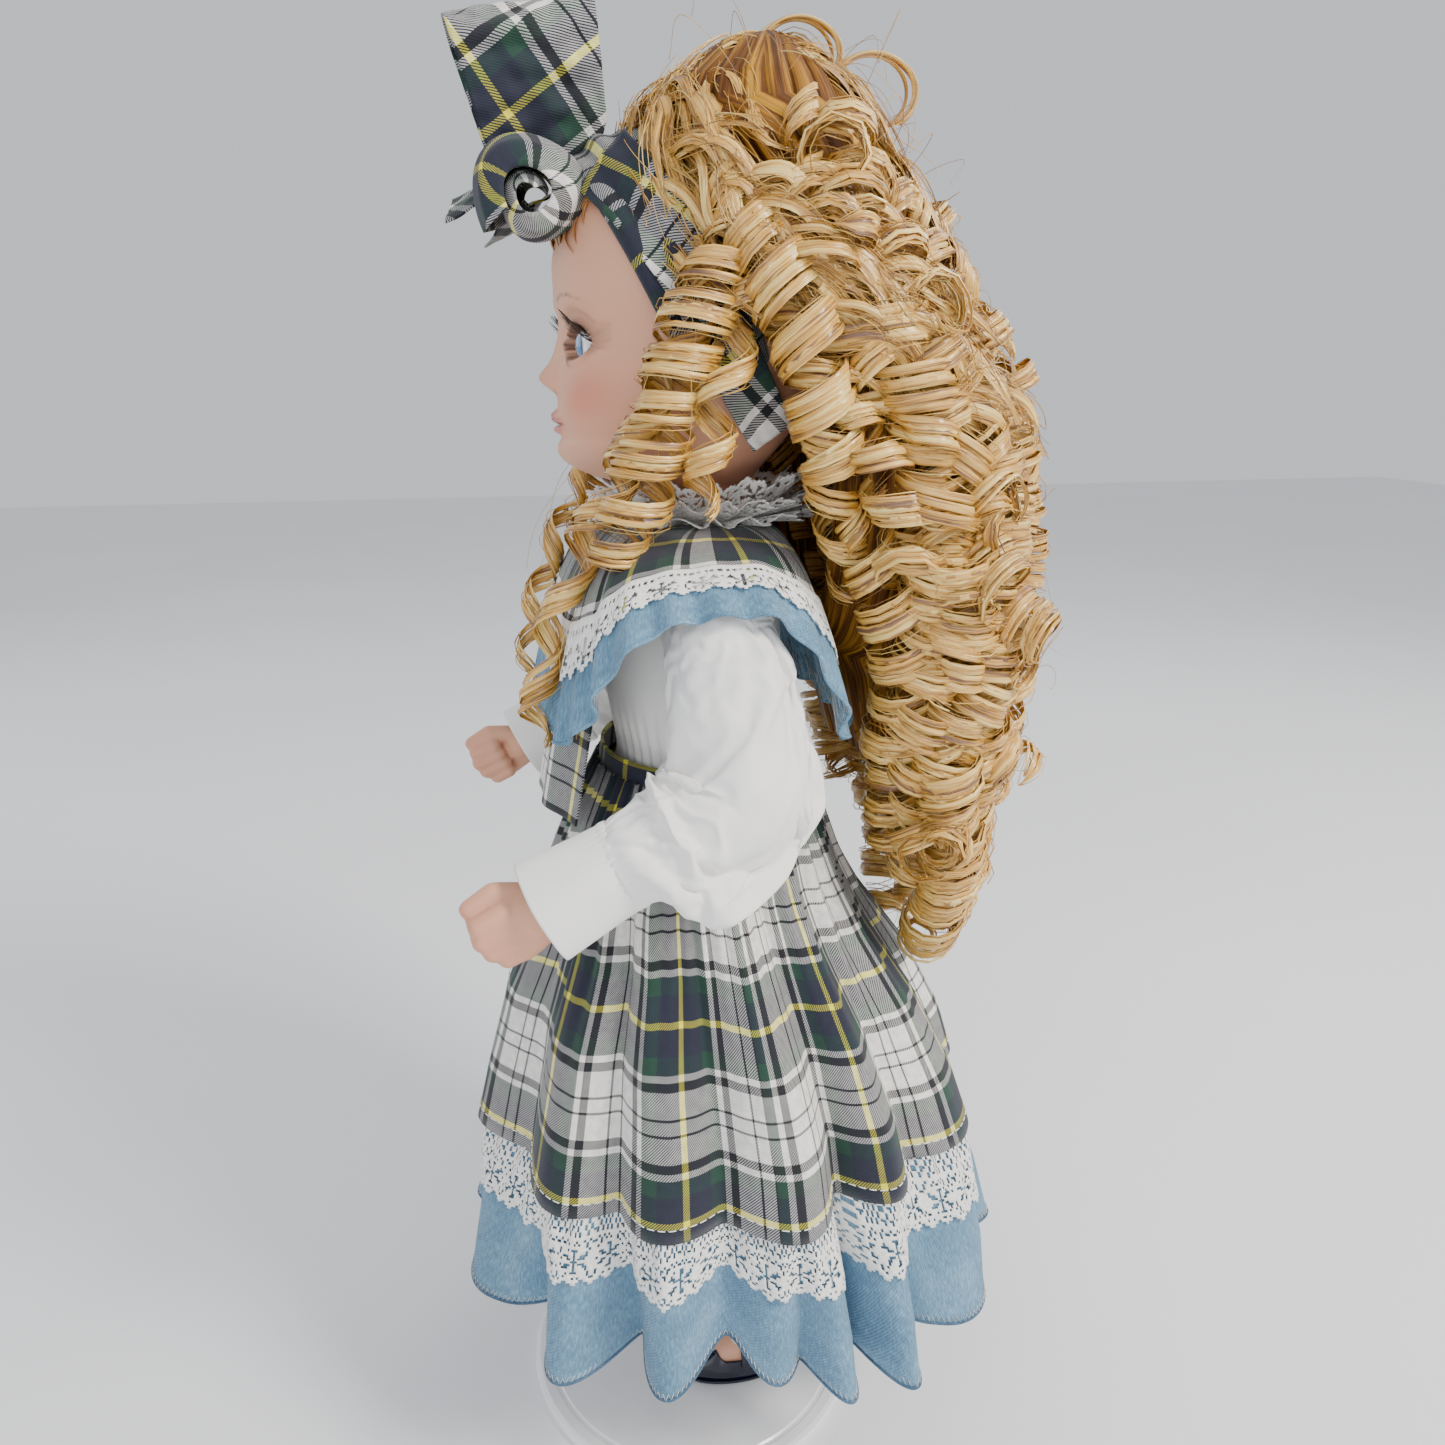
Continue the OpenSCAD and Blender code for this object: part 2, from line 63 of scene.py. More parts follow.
# ---- colours and small tools ---------------------------------------------------------------------
def linear(hex_colour):
    """An sRGB hex colour as linear red, green and blue."""
    parts = [int(hex_colour[i:i + 2], 16) / 255 for i in (1, 3, 5)]
    return tuple(c / 12.92 if c <= 0.04045 else ((c + 0.055) / 1.055) ** 2.4 for c in parts)


def opaque(colour):
    return (*colour, 1.0)


def shaded(colour, factor):
    """A linear colour made darker, or lighter, by a factor."""
    return tuple(v * factor for v in colour)


def deselect():
    for o in bpy.context.selected_objects:
        o.select_set(False)


def make_active(piece):
    deselect()
    piece.select_set(True)
    bpy.context.view_layer.objects.active = piece


def apply_all(piece):
    """Applies the piece's modifiers in order."""
    make_active(piece)
    for modifier in list(piece.modifiers):
        bpy.ops.object.modifier_apply(modifier=modifier.name)
    return piece


def add_modifier(piece, kind, **settings):
    modifier = piece.modifiers.new(kind.title(), kind)
    for key, value in settings.items():
        setattr(modifier, key, value)
    return modifier


def thicken(piece, thickness, offset=0.0):
    """Gives a single layer of cloth its thickness in millimetres."""
    add_modifier(piece, "SOLIDIFY", thickness=thickness * MM, offset=offset, use_quality_normals=True)
    return apply_all(piece)


def smooth(piece):
    piece.data.shade_smooth()
    return piece


def wear(piece, finish, body=None, replaces=()):
    """Gives a finished piece its material and body, and hides the CAD nodes that it stands for."""
    piece.data.materials.clear()
    piece.data.materials.append(material_of(finish))
    if body:
        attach(piece, body)
    if replaces:
        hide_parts(*replaces)
    return piece


def mesh_piece(name, points, faces, corner_uvs=None):
    """A mesh from points in millimetres, faces, and a UV for each face corner."""
    mesh = bpy.data.meshes.new(name)
    mesh.from_pydata((np.asarray(points, float) * MM).tolist(), [], [list(map(int, f)) for f in faces])
    if corner_uvs is not None:
        layer = mesh.uv_layers.new(name="UVMap")
        layer.data.foreach_set("uv", (np.asarray(corner_uvs, float) * UV_MM).ravel())
    piece = bpy.data.objects.new(name, mesh)
    bpy.context.scene.collection.objects.link(piece)
    mesh.shade_smooth()
    return piece


def fill_holes(piece, above=-1.0):
    """Closes the open edges of a piece that lie above a height in metres."""
    bm = bmesh.new()
    bm.from_mesh(piece.data)
    edges = [e for e in bm.edges if e.is_boundary and e.verts[0].co.z > above]
    bmesh.ops.holes_fill(bm, edges=edges)
    bm.to_mesh(piece.data)
    bm.free()


def grid_arrays(points, across, along, wrap, start=0, flip=False, keep=None):
    """Points, faces and corner UVs of a grid [columns, rows]. across and along are UVs in millimetres,
    with one column more than the points where the grid wraps round. keep[columns, rows] drops faces."""
    columns, rows = points.shape[:2]
    last = columns if wrap else columns - 1
    i, j = np.meshgrid(np.arange(last), np.arange(rows - 1), indexing="ij")
    if keep is not None:
        chosen = keep[:last, :rows - 1]
        i, j = i[chosen], j[chosen]
    i, j = i.ravel(), j.ravel()
    right = (i + 1) % columns
    order = [(i, j, i, j), (right, j, i + 1, j), (right, j + 1, i + 1, j + 1), (i, j + 1, i, j + 1)]
    if flip:
        order = order[::-1]
    faces = np.stack([start + a * rows + b for a, b, _, _ in order], 1)
    uvs = np.stack([np.stack([across[c, d], along[c, d]], 1) for _, _, c, d in order], 1)
    return points.reshape(-1, 3), faces, uvs


def grid_piece(name, points, across, along, wrap=True, flip=False, keep=None):
    return mesh_piece(name, *grid_arrays(points, across, along, wrap, 0, flip, keep))


def ring_cloth(name, points, thickness, flip=False, offset=0.0):
    """A cloth that closes round on itself, with its UVs and its thickness in millimetres."""
    return thicken(grid_piece(name, points, *cloth_uvs(points, True), flip=flip), thickness, offset)


def arc_lengths(points, wrap):
    """Length along the first axis of points [columns, 3], with the closing length where it wraps."""
    ends = np.vstack([points, points[:1]]) if wrap else points
    return np.concatenate([[0], np.cumsum(np.linalg.norm(np.diff(ends, axis=0), axis=1))])


def cloth_uvs(points, wrap, level=-1):
    """UVs of a gathered cloth: across is the length along one row, along is the length down a column."""
    across_row = arc_lengths(points[:, level], wrap)
    steps = np.linalg.norm(np.diff(points, axis=1), axis=2).mean(0)
    down = np.concatenate([[0], np.cumsum(steps)])
    across = np.repeat(across_row[:, None], points.shape[1], 1)
    return across, np.repeat(down[None, :], len(across_row), 0)


def unit(vectors):
    """The vectors of the last axis, each made one long."""
    return vectors / np.linalg.norm(vectors, axis=-1, keepdims=True)


def ring_angles(count):
    return np.linspace(0, TAU, count + 1)[:-1]


def at_lengths(want, length, points):
    """Points on a line of points, at the wanted lengths along it."""
    return np.stack([np.interp(want, length, points[:, k]) for k in range(points.shape[1])], 1)


def points_of(mesh, attribute="co"):
    """A mesh's points, or their normals, as an array in metres."""
    values = np.empty(len(mesh.vertices) * 3)
    mesh.vertices.foreach_get(attribute, values)
    return values.reshape(-1, 3)


def grid_normals(points, wrap):
    """Unit normals of a grid of points, pointing right-handed across x along."""
    if wrap:
        du = np.roll(points, -1, 0) - np.roll(points, 1, 0)
    else:
        du = np.gradient(points, axis=0)
    dv = np.gradient(points, axis=1)
    n = np.cross(du, dv)
    return n / np.maximum(np.linalg.norm(n, axis=2, keepdims=True), 1e-9)


def spline(points, count):
    """A smooth curve through the points, as count evenly spaced points."""
    p = np.asarray(points, float)
    p = np.vstack([2 * p[0] - p[1], p, 2 * p[-1] - p[-2]])
    fine = []
    for k in range(1, len(p) - 2):
        t = np.linspace(0, 1, 24, endpoint=False)[:, None]
        a, b, c, d = p[k - 1], p[k], p[k + 1], p[k + 2]
        fine.append(0.5 * (2 * b + (c - a) * t + (2 * a - 5 * b + 4 * c - d) * t ** 2
                           + (3 * b - a - 3 * c + d) * t ** 3))
    fine = np.vstack([*fine, p[-2:-1]])
    length = arc_lengths(fine, False)
    want = np.linspace(0, length[-1], count)
    return at_lengths(want, length, fine)


def tangents(path):
    t = np.gradient(path, axis=0)
    return t / np.maximum(np.linalg.norm(t, axis=1, keepdims=True), 1e-9)


def carried_frame(path):
    """Two unit vectors across a path that turn as little as they can along it."""
    t = tangents(path)
    first = np.cross(t[0], [0.0, 0.0, 1.0])
    if np.linalg.norm(first) < 0.1:
        first = np.cross(t[0], [1.0, 0.0, 0.0])
    side = [first / np.linalg.norm(first)]
    for k in range(1, len(path)):
        v = side[-1] - t[k] * (side[-1] @ t[k])
        side.append(v / np.linalg.norm(v))
    side = np.array(side)
    return side, np.cross(t, side)


def swept(path, wide, thin, wide_half, thin_half, sides, start=0, along0=0.0, groove=0.0, turn=0.0):
    """A closed band or strand along a path: wide and thin are unit vectors across it, with half sizes
    in millimetres. groove cuts ridges along it. Returns points, faces and corner UVs."""
    count = len(path)
    a = np.arange(sides) * TAU / sides + turn
    ridge = 1 + groove * np.where(np.arange(sides) % 2 == 0, 1, -1)
    cross = (wide[:, None] * (np.cos(a) * ridge)[None, :, None] * np.reshape(wide_half, (-1, 1, 1))
             + thin[:, None] * (np.sin(a) * ridge)[None, :, None] * np.reshape(thin_half, (-1, 1, 1)))
    points = (path[:, None] + cross).transpose(1, 0, 2)
    length = arc_lengths(path, False) + along0
    width = 2.2 * float(np.mean(wide_half)) + 0.4
    round_it = np.abs(np.arange(sides + 1) / sides - 0.5) * 2 * width + along0 * 0.37
    across = np.repeat(round_it[:, None], count, 1)
    along = np.repeat(length[None, :], sides + 1, 0)
    pts, faces, uvs = grid_arrays(points, across, along, True, start)
    ends = [[start + s * count for s in range(sides)][::-1],
            [start + s * count + count - 1 for s in range(sides)]]
    return pts, faces, uvs, ends


class Heap:
    """Many small closed tubes gathered into one mesh."""

    def __init__(self):
        self.points, self.faces, self.uvs, self.ends, self.count = [], [], [], [], 0

    def add(self, path, wide, thin, wide_half, thin_half, sides, **more):
        pts, faces, uvs, ends = swept(path, wide, thin, wide_half, thin_half, sides, self.count, **more)
        self.points.append(pts)
        self.faces.append(faces)
        self.uvs.append(uvs)
        self.ends += ends
        self.count += len(pts)

    def strand(self, path, radius, sides=3, **more):
        side, up = carried_frame(path)
        self.add(path, side, up, radius, radius, sides, **more)

    def limb(self, path, radius, sides, side):
        """A tube along a path that is given for the left side, and mirrored for the right."""
        one, two = carried_frame(path)
        self.add(mirrored(path, side), mirrored(one, side), mirrored(two, side), radius, radius, sides)

    def strip(self, path, wide, out, half, bulge, columns, rng):
        """An open band of hair: its width is bowed outwards and finely ridged."""
        w = np.linspace(-1, 1, columns)
        half = np.broadcast_to(half, (len(path),))
        ridge = np.where(np.arange(columns) % 2 == 0, 0.11, -0.11)
        points = (path[:, None] + wide[:, None] * (half[:, None] * w)[..., None]
                  + out[:, None] * (bulge * (1 - w ** 2) + ridge)[None, :, None]).transpose(1, 0, 2)
        along = np.repeat(arc_lengths(path, False)[None, :], columns, 0) + rng.uniform(0, 400)
        across = (half[None, :] * w[:, None]) + rng.uniform(0, 400)
        pts, faces, uvs = grid_arrays(points, across, along, False, self.count)
        self.points.append(pts)
        self.faces.append(faces)
        self.uvs.append(uvs)
        self.count += len(pts)

    def piece(self, name):
        points = np.vstack(self.points)
        faces = [tuple(f) for block in self.faces for f in block]
        uvs = [uv for block in self.uvs for face in block for uv in face]
        for end in self.ends:
            faces.append(tuple(end))
            uvs += [uvs[0]] * len(end)
        return mesh_piece(name, points, faces, uvs)


# ---- sizes and colours that a user may change ----------------------------------------------------
def colour_prop(name, description, hex_colour):
    return FloatVectorProperty(name=name, description=description, subtype="COLOR", size=3, min=0, max=1,
                               default=linear(hex_colour))


class DollColours(bpy.types.PropertyGroup):
    navy: colour_prop("Navy", "Ground colour of the tartan", "#161A2E")
    green: colour_prop("Green", "Green bars of the tartan", "#0F3A2B")
    ivory: colour_prop("Ivory", "White bars of the tartan", "#E9E6E0")
    yellow: colour_prop("Yellow", "Thin lines of the tartan", "#E6DC3A")
    ink: colour_prop("Black", "Black bars of the tartan", "#0C0D14")
    denim: colour_prop("Denim", "Face of the washed denim", "#638AA3")
    # Painted shade: the dark denim colour tints the darker patches of the wash and colours the rolled hem as
    # a shaded underside.
    denim_painted_shade: colour_prop("Dark denim", "Back and worn folds of the denim", "#3F5E78")
    cotton: colour_prop("Cotton", "White cotton of the blouse", "#F2F0EC")
    lace: colour_prop("Lace", "White cotton lace", "#F1F0EB")
    bisque: colour_prop("Bisque", "Unglazed tinted porcelain", "#D9A283")
    blush: colour_prop("Blush", "Rosy tint of the cheeks and lips", "#C4604E")
    iris: colour_prop("Iris", "Iris of the glass eyes", "#3E6D9C")
    # Painted highlight and painted shade: the light and the dark hair colours stand for lit and shaded
    # strands, on either side of the hair's own colour.
    hair_painted_highlight: colour_prop("Light hair", "Lit strands of the wig", "#FBDC84")
    hair: colour_prop("Hair", "Strands of the wig", "#DA9D2E")
    hair_painted_shade: colour_prop("Dark hair", "Deep strands of the wig", "#6A3E0F")
    enamel: colour_prop("Enamel", "White enamel of the stand", "#EDEEF0")
    shoe: colour_prop("Shoe", "Navy vinyl of the shoes", "#14172A")


class DollSizes(bpy.types.PropertyGroup):
    sett: FloatProperty(name="Half sett", description="From a yellow line to the middle of the white square",
                        default=29.2 * MM, min=0.01, max=0.1, unit="LENGTH")
    twill: FloatProperty(name="Twill pitch", description="Distance between the tartan's diagonal ribs",
                         default=0.9 * MM, min=0.0005, max=0.004, unit="LENGTH")
    ruffle_folds: IntProperty(name="Ruffle folds", description="Folds round the denim ruffle", default=15,
                              min=8, max=30)
    skirt_folds: IntProperty(name="Skirt folds", description="Deep folds round the skirt", default=13,
                             min=6, max=24)
    camera_azimuth: FloatProperty(name="Camera azimuth", description="Way round the doll from its front",
                                  default=math.radians(78), subtype="ANGLE")
    camera_pitch: FloatProperty(name="Camera pitch", description="How far the camera looks down",
                                default=math.radians(18), subtype="ANGLE")
    camera_distance: FloatProperty(name="Camera distance", description="Level distance from the stand",
                                   default=0.327, unit="LENGTH")
    camera_height: FloatProperty(name="Camera height", description="Height above the shelf", default=0.357,
                                 unit="LENGTH")


def colours():
    return bpy.context.scene.doll_colours


def sizes():
    return bpy.context.scene.doll_sizes


# ---- materials -----------------------------------------------------------------------------------
def add(tree, kind, sets=(), links=()):
    """Adds a node. sets are (setting or input, value) pairs, links are (input, output socket) pairs."""
    made = tree.nodes.new(kind)
    for key, value in sets:
        if isinstance(key, str) and hasattr(made, key):
            setattr(made, key, value)
        else:
            made.inputs[key].default_value = value
    for key, output in links:
        tree.links.new(output, made.inputs[key])
    return made


def maths(tree, operation, first, second):
    """The output of one Maths node on two values, each a socket or a number."""
    made = add(tree, "ShaderNodeMath", [("operation", operation)])
    for place, value in enumerate((first, second)):
        if isinstance(value, bpy.types.NodeSocket):
            tree.links.new(value, made.inputs[place])
        else:
            made.inputs[place].default_value = value
    return made.outputs[0]


def object_place(tree):
    return add(tree, "ShaderNodeTexCoord").outputs["Object"]


def new_material(name, **shader_sets):
    """A material with a Principled shader, whose constant settings are set on its own sockets."""
    material = bpy.data.materials.new(name)
    material.use_nodes = True
    tree = material.node_tree
    shader = tree.nodes["Principled BSDF"]
    for key, value in shader_sets.items():
        shader.inputs[key.replace("_", " ")].default_value = value
    return material, tree, shader


def ramp(tree, factor, stops, interpolation="LINEAR"):
    made = add(tree, "ShaderNodeValToRGB", links=[("Fac", factor)])
    made.color_ramp.interpolation = interpolation
    elements = made.color_ramp.elements
    while len(elements) > 1:
        elements.remove(elements[-1])
    elements[0].position, elements[0].color = stops[0][0], opaque(stops[0][1])
    for place, colour in stops[1:]:
        elements.new(place).color = opaque(colour)
    return made.outputs["Color"]


def uv_axes(tree):
    """The cloth's own across and along, in millimetres."""
    uv = add(tree, "ShaderNodeTexCoord").outputs["UV"]
    split = add(tree, "ShaderNodeSeparateXYZ", links=[("Vector", uv)])
    return [maths(tree, "MULTIPLY", split.outputs[axis], 1 / UV_MM) for axis in "XY"]


def vector_of(tree, x, y, x_scale, y_scale):
    """A texture place from two lengths in millimetres, each times its own scale."""
    a, b = maths(tree, "MULTIPLY", x, x_scale), maths(tree, "MULTIPLY", y, y_scale)
    return add(tree, "ShaderNodeCombineXYZ", links=[("X", a), ("Y", b)]).outputs[0]


def noise_at(tree, place, detail=2.0, scale=1.0, roughness=0.5):
    return add(tree, "ShaderNodeTexNoise", [("Scale", scale), ("Detail", detail), ("Roughness", roughness)],
               [("Vector", place)]).outputs["Fac"]


def ribs(tree, across, along, pitch):
    """Diagonal ribs of a twill: 0 to 1 to 0 over each pitch, in millimetres."""
    return maths(tree, "PINGPONG", maths(tree, "ADD", across, along), pitch / 2)


def bump(tree, height, shader, distance, strength=1.0):
    made = add(tree, "ShaderNodeBump", [("Strength", strength), ("Distance", distance * MM)],
               [("Height", height)])
    tree.links.new(made.outputs["Normal"], shader.inputs["Normal"])
    return made


def mixed(tree, factor, first, second, blend="MIX"):
    """Mixes two colours; a colour is a socket or a linear triple."""
    made = add(tree, "ShaderNodeMix", [("data_type", "RGBA"), ("blend_type", blend)])
    for socket, value in ((0, factor), (6, first), (7, second)):
        if isinstance(value, bpy.types.NodeSocket):
            tree.links.new(value, made.inputs[socket])
        elif socket == 0:
            made.inputs[0].default_value = value
        else:
            made.inputs[socket].default_value = opaque(value)
    return made.outputs[2]


def tartan():
    """Woven twill tartan, cotton and polyester: matt, with the warp and weft seen as fine diagonals."""
    c, s = colours(), sizes()
    half = s.sett / MM
    material, tree, shader = new_material("Tartan_twill", Roughness=0.82, Sheen_Weight=0.12,
                                          Sheen_Roughness=0.5)
    across, along = uv_axes(tree)
    edges = [(0.0, c.yellow), (1.0, c.navy), (8.8, c.green), (14.0, c.ivory), (16.0, c.ink), (18.8, c.ivory),
             (26.4, c.ink), (27.2, c.ivory)]
    threads = []
    for length in (across, along):
        share = maths(tree, "DIVIDE", maths(tree, "PINGPONG", length, half), half)
        threads.append(ramp(tree, share, [(mm / 29.2, col) for mm, col in edges], "CONSTANT"))
    pitch = s.twill / MM
    rib = ribs(tree, across, along, pitch)
    over = add(tree, "ShaderNodeMapRange", [("From Min", pitch * 0.17), ("From Max", pitch * 0.33)],
               [("Value", rib)])
    woven = mixed(tree, over.outputs[0], threads[0], threads[1])
    # Painted shade between the threads: the darker of warp and weft is mixed in at 45 percent, so the cloth
    # reads darker than its woven threads.
    cloth = mixed(tree, 0.45, woven, mixed(tree, 1.0, threads[0], threads[1], "DARKEN"))
    fibre = noise_at(tree, vector_of(tree, across, along, 0.35, 0.35), 3)
    shade = ramp(tree, fibre, [(0.3, (0.78, 0.78, 0.8)), (0.75, (1.08, 1.08, 1.06))])
    tree.links.new(mixed(tree, 1.0, cloth, shade, "MULTIPLY"), shader.inputs["Base Color"])
    bump(tree, rib, shader, 0.25, 0.55)
    return material


def denim(name, face, dark):
    """Washed denim: blue warp over white weft, so pale flecks and diagonal ribs on a faded blue."""
    material, tree, shader = new_material(name, Roughness=0.9, Sheen_Weight=0.1, Sheen_Roughness=0.6)
    across, along = uv_axes(tree)
    rib = ribs(tree, across, along, 1.2)
    rib_share = maths(tree, "DIVIDE", rib, 0.6)
    slub = noise_at(tree, vector_of(tree, across, along, 1.3, 0.35), 3, roughness=0.7)
    wash = noise_at(tree, vector_of(tree, across, along, 0.05, 0.05), 3)
    # The wash varies at random; its darker patches lean towards the dark colour, which is painted shade.
    base = ramp(tree, wash, [(0.25, tuple(a * 0.65 + b * 0.35 for a, b in zip(face, dark))), (0.5, face),
                             (0.78, tuple(min(1.0, 0.06 + 1.1 * v) for v in face))])
    flecks = ramp(tree, slub, [(0.38, (0.74, 0.76, 0.78)), (0.52, (1, 1, 1)), (0.7, (1.5, 1.45, 1.4))])
    ribbed = ramp(tree, rib_share, [(0.0, (0.86, 0.87, 0.88)), (1.0, (1.1, 1.1, 1.1))])
    cloth = mixed(tree, 1.0, mixed(tree, 1.0, base, flecks, "MULTIPLY"), ribbed, "MULTIPLY")
    tree.links.new(cloth, shader.inputs["Base Color"])
    bump(tree, maths(tree, "ADD", rib, slub), shader, 0.3, 0.6)
    return material


def plain_cotton(name, colour, pitch=0.7):
    """Plain woven cotton: white, matt and a little soft, with threads crossing at right angles."""
    material, tree, shader = new_material(name, Roughness=0.85, Sheen_Weight=0.25, Sheen_Roughness=0.5)
    place = object_place(tree)
    axes = add(tree, "ShaderNodeSeparateXYZ", links=[("Vector", place)])
    waves = [maths(tree, "PINGPONG", axes.outputs[axis], pitch / 2 * MM) for axis in "XYZ"]
    weave = maths(tree, "ADD", maths(tree, "ADD", waves[0], waves[1]), waves[2])
    soft = noise_at(tree, place, 4, 90)
    tint = ramp(tree, soft, [(0.3, shaded(colour, 0.93)), (0.7, colour)])
    tree.links.new(tint, shader.inputs["Base Color"])
    bump(tree, maths(tree, "MULTIPLY", weave, 1 / (pitch * MM)), shader, 0.06, 0.35)
    return material


def lace_thread():
    """Cotton lace: soft matt thread, a little uneven."""
    material, tree, shader = new_material("Cotton_lace", Roughness=0.9, Sheen_Weight=0.3)
    place = object_place(tree)
    fibre = noise_at(tree, place, 3, 900)
    c = colours().lace
    tint = ramp(tree, fibre, [(0.3, shaded(c, 0.82)), (0.65, tuple(c))])
    tree.links.new(tint, shader.inputs["Base Color"])
    bump(tree, fibre, shader, 0.3, 0.6)
    return material


def enamel(name, colour, roughness=0.22):
    """Stoved enamel on sheet metal: white, glossy, with the faint waviness of the coat."""
    material, tree, shader = new_material(name, Roughness=roughness, Coat_Weight=0.4, Coat_Roughness=0.08)
    place = object_place(tree)
    coat = noise_at(tree, place, 2, 60)
    tint = ramp(tree, coat, [(0.3, shaded(colour, 0.94)), (0.7, tuple(colour))])
    tree.links.new(tint, shader.inputs["Base Color"])
    bump(tree, coat, shader, 0.15, 0.15)
    return material


def plain(name, colour, roughness, grain, depth, metallic=0.0):
    """A simple finish with grain: card, wood, felt, vinyl or turned metal."""
    material, tree, shader = new_material(name, Roughness=roughness, Metallic=metallic)
    place = object_place(tree)
    speck = noise_at(tree, place, 4, 1 / (grain * MM))
    tint = ramp(tree, speck, [(0.3, shaded(colour, 0.75)), (0.7, tuple(colour))])
    tree.links.new(tint, shader.inputs["Base Color"])
    bump(tree, speck, shader, depth, 0.4)
    return material


def bisque():
    """Unglazed tinted porcelain: matt and smooth, with painted blush, lips and brown lines."""
    c = colours()
    material, tree, shader = new_material("Bisque_porcelain", Roughness=0.5, Subsurface_Weight=0.12,
                                          Subsurface_Radius=(0.006, 0.003, 0.002), Subsurface_Scale=0.2)
    place = object_place(tree)
    grain = noise_at(tree, place, 3, 500)
    mottle = noise_at(tree, place, 2, 40)
    tint = ramp(tree, mottle, [(0.3, shaded(c.bisque, 0.95)), (0.7, tuple(c.bisque))])
    paint = add(tree, "ShaderNodeAttribute", [("attribute_name", "Paint"), ("attribute_type", "GEOMETRY")])
    marks = add(tree, "ShaderNodeSeparateColor", links=[("Color", paint.outputs["Color"])])
    rosy = mixed(tree, maths(tree, "MULTIPLY", marks.outputs["Red"], 0.55), tint, tuple(c.blush))
    lipped = mixed(tree, maths(tree, "MULTIPLY", marks.outputs["Green"], 0.8), rosy, linear("#B75A52"))
    lined = mixed(tree, marks.outputs["Blue"], lipped, linear("#5B3A2B"))
    tree.links.new(lined, shader.inputs["Base Color"])
    rough = ramp(tree, marks.outputs["Green"], [(0.0, (0.52, 0.52, 0.52)), (1.0, (0.32, 0.32, 0.32))])
    tree.links.new(rough, shader.inputs["Roughness"])
    bump(tree, grain, shader, 0.03, 0.3)
    return material


def glass_eye():
    """Blown glass eye: threads of blue in the iris, a black pupil and a wet clear coat."""
    c = colours()
    material, tree, shader = new_material("Glass_eye", Roughness=0.12, Coat_Weight=1.0, Coat_Roughness=0.02)
    gaze = add(tree, "ShaderNodeAttribute", [("attribute_name", "gaze"), ("attribute_type", "GEOMETRY")])
    share = maths(tree, "DIVIDE", gaze.outputs["Fac"], 8.0)
    iris, white = tuple(c.iris), linear("#E9E4E0")
    rings = ramp(tree, share, [(0.0, (0.003, 0.003, 0.004)), (0.2, (0.003, 0.003, 0.004)),
                               (0.23, shaded(iris, 1.5)), (0.42, iris), (0.51, shaded(iris, 0.25)),
                               (0.56, white), (1.0, white)])
    place = object_place(tree)
    threads = ramp(tree, noise_at(tree, place, 4, 900), [(0.3, (0.72, 0.75, 0.8)), (0.7, (1.2, 1.2, 1.2))])
    tree.links.new(mixed(tree, 1.0, rings, threads, "MULTIPLY"), shader.inputs["Base Color"])
    return material


def hair(name, dark, middle, light, roughness=0.27, shine=0.35):
    """Glossy synthetic hair: single hairs as fine streaks along each lock, which vary at random from strand
    to strand between a painted shade colour, the hair's own colour and a painted highlight colour.
    """
    material, tree, shader = new_material(name, Roughness=roughness, Specular_IOR_Level=0.3 + 2 * shine,
                                          Coat_Weight=shine, Coat_Roughness=0.16)
    across, along = uv_axes(tree)
    fine = noise_at(tree, vector_of(tree, across, along, 1.7, 0.02), 4, roughness=0.7)
    band = noise_at(tree, vector_of(tree, across, along, 0.5, 0.035), 2)
    streaks = maths(tree, "MULTIPLY", maths(tree, "ADD", fine, band), 0.5)
    # Partly real strand colour, partly painted light: the random streaks run from the painted shade colour
    # through the hair's colour to the painted highlight colour.
    tint = ramp(tree, streaks, [(0.4, dark), (0.48, middle), (0.6, light)])
    tree.links.new(tint, shader.inputs["Base Color"])
    gloss = ramp(tree, fine, [(0.35, (0.55,) * 3), (0.6, (roughness,) * 3)])
    tree.links.new(gloss, shader.inputs["Roughness"])
    bump(tree, fine, shader, 0.6, 1.0)
    return material


MADE = {}


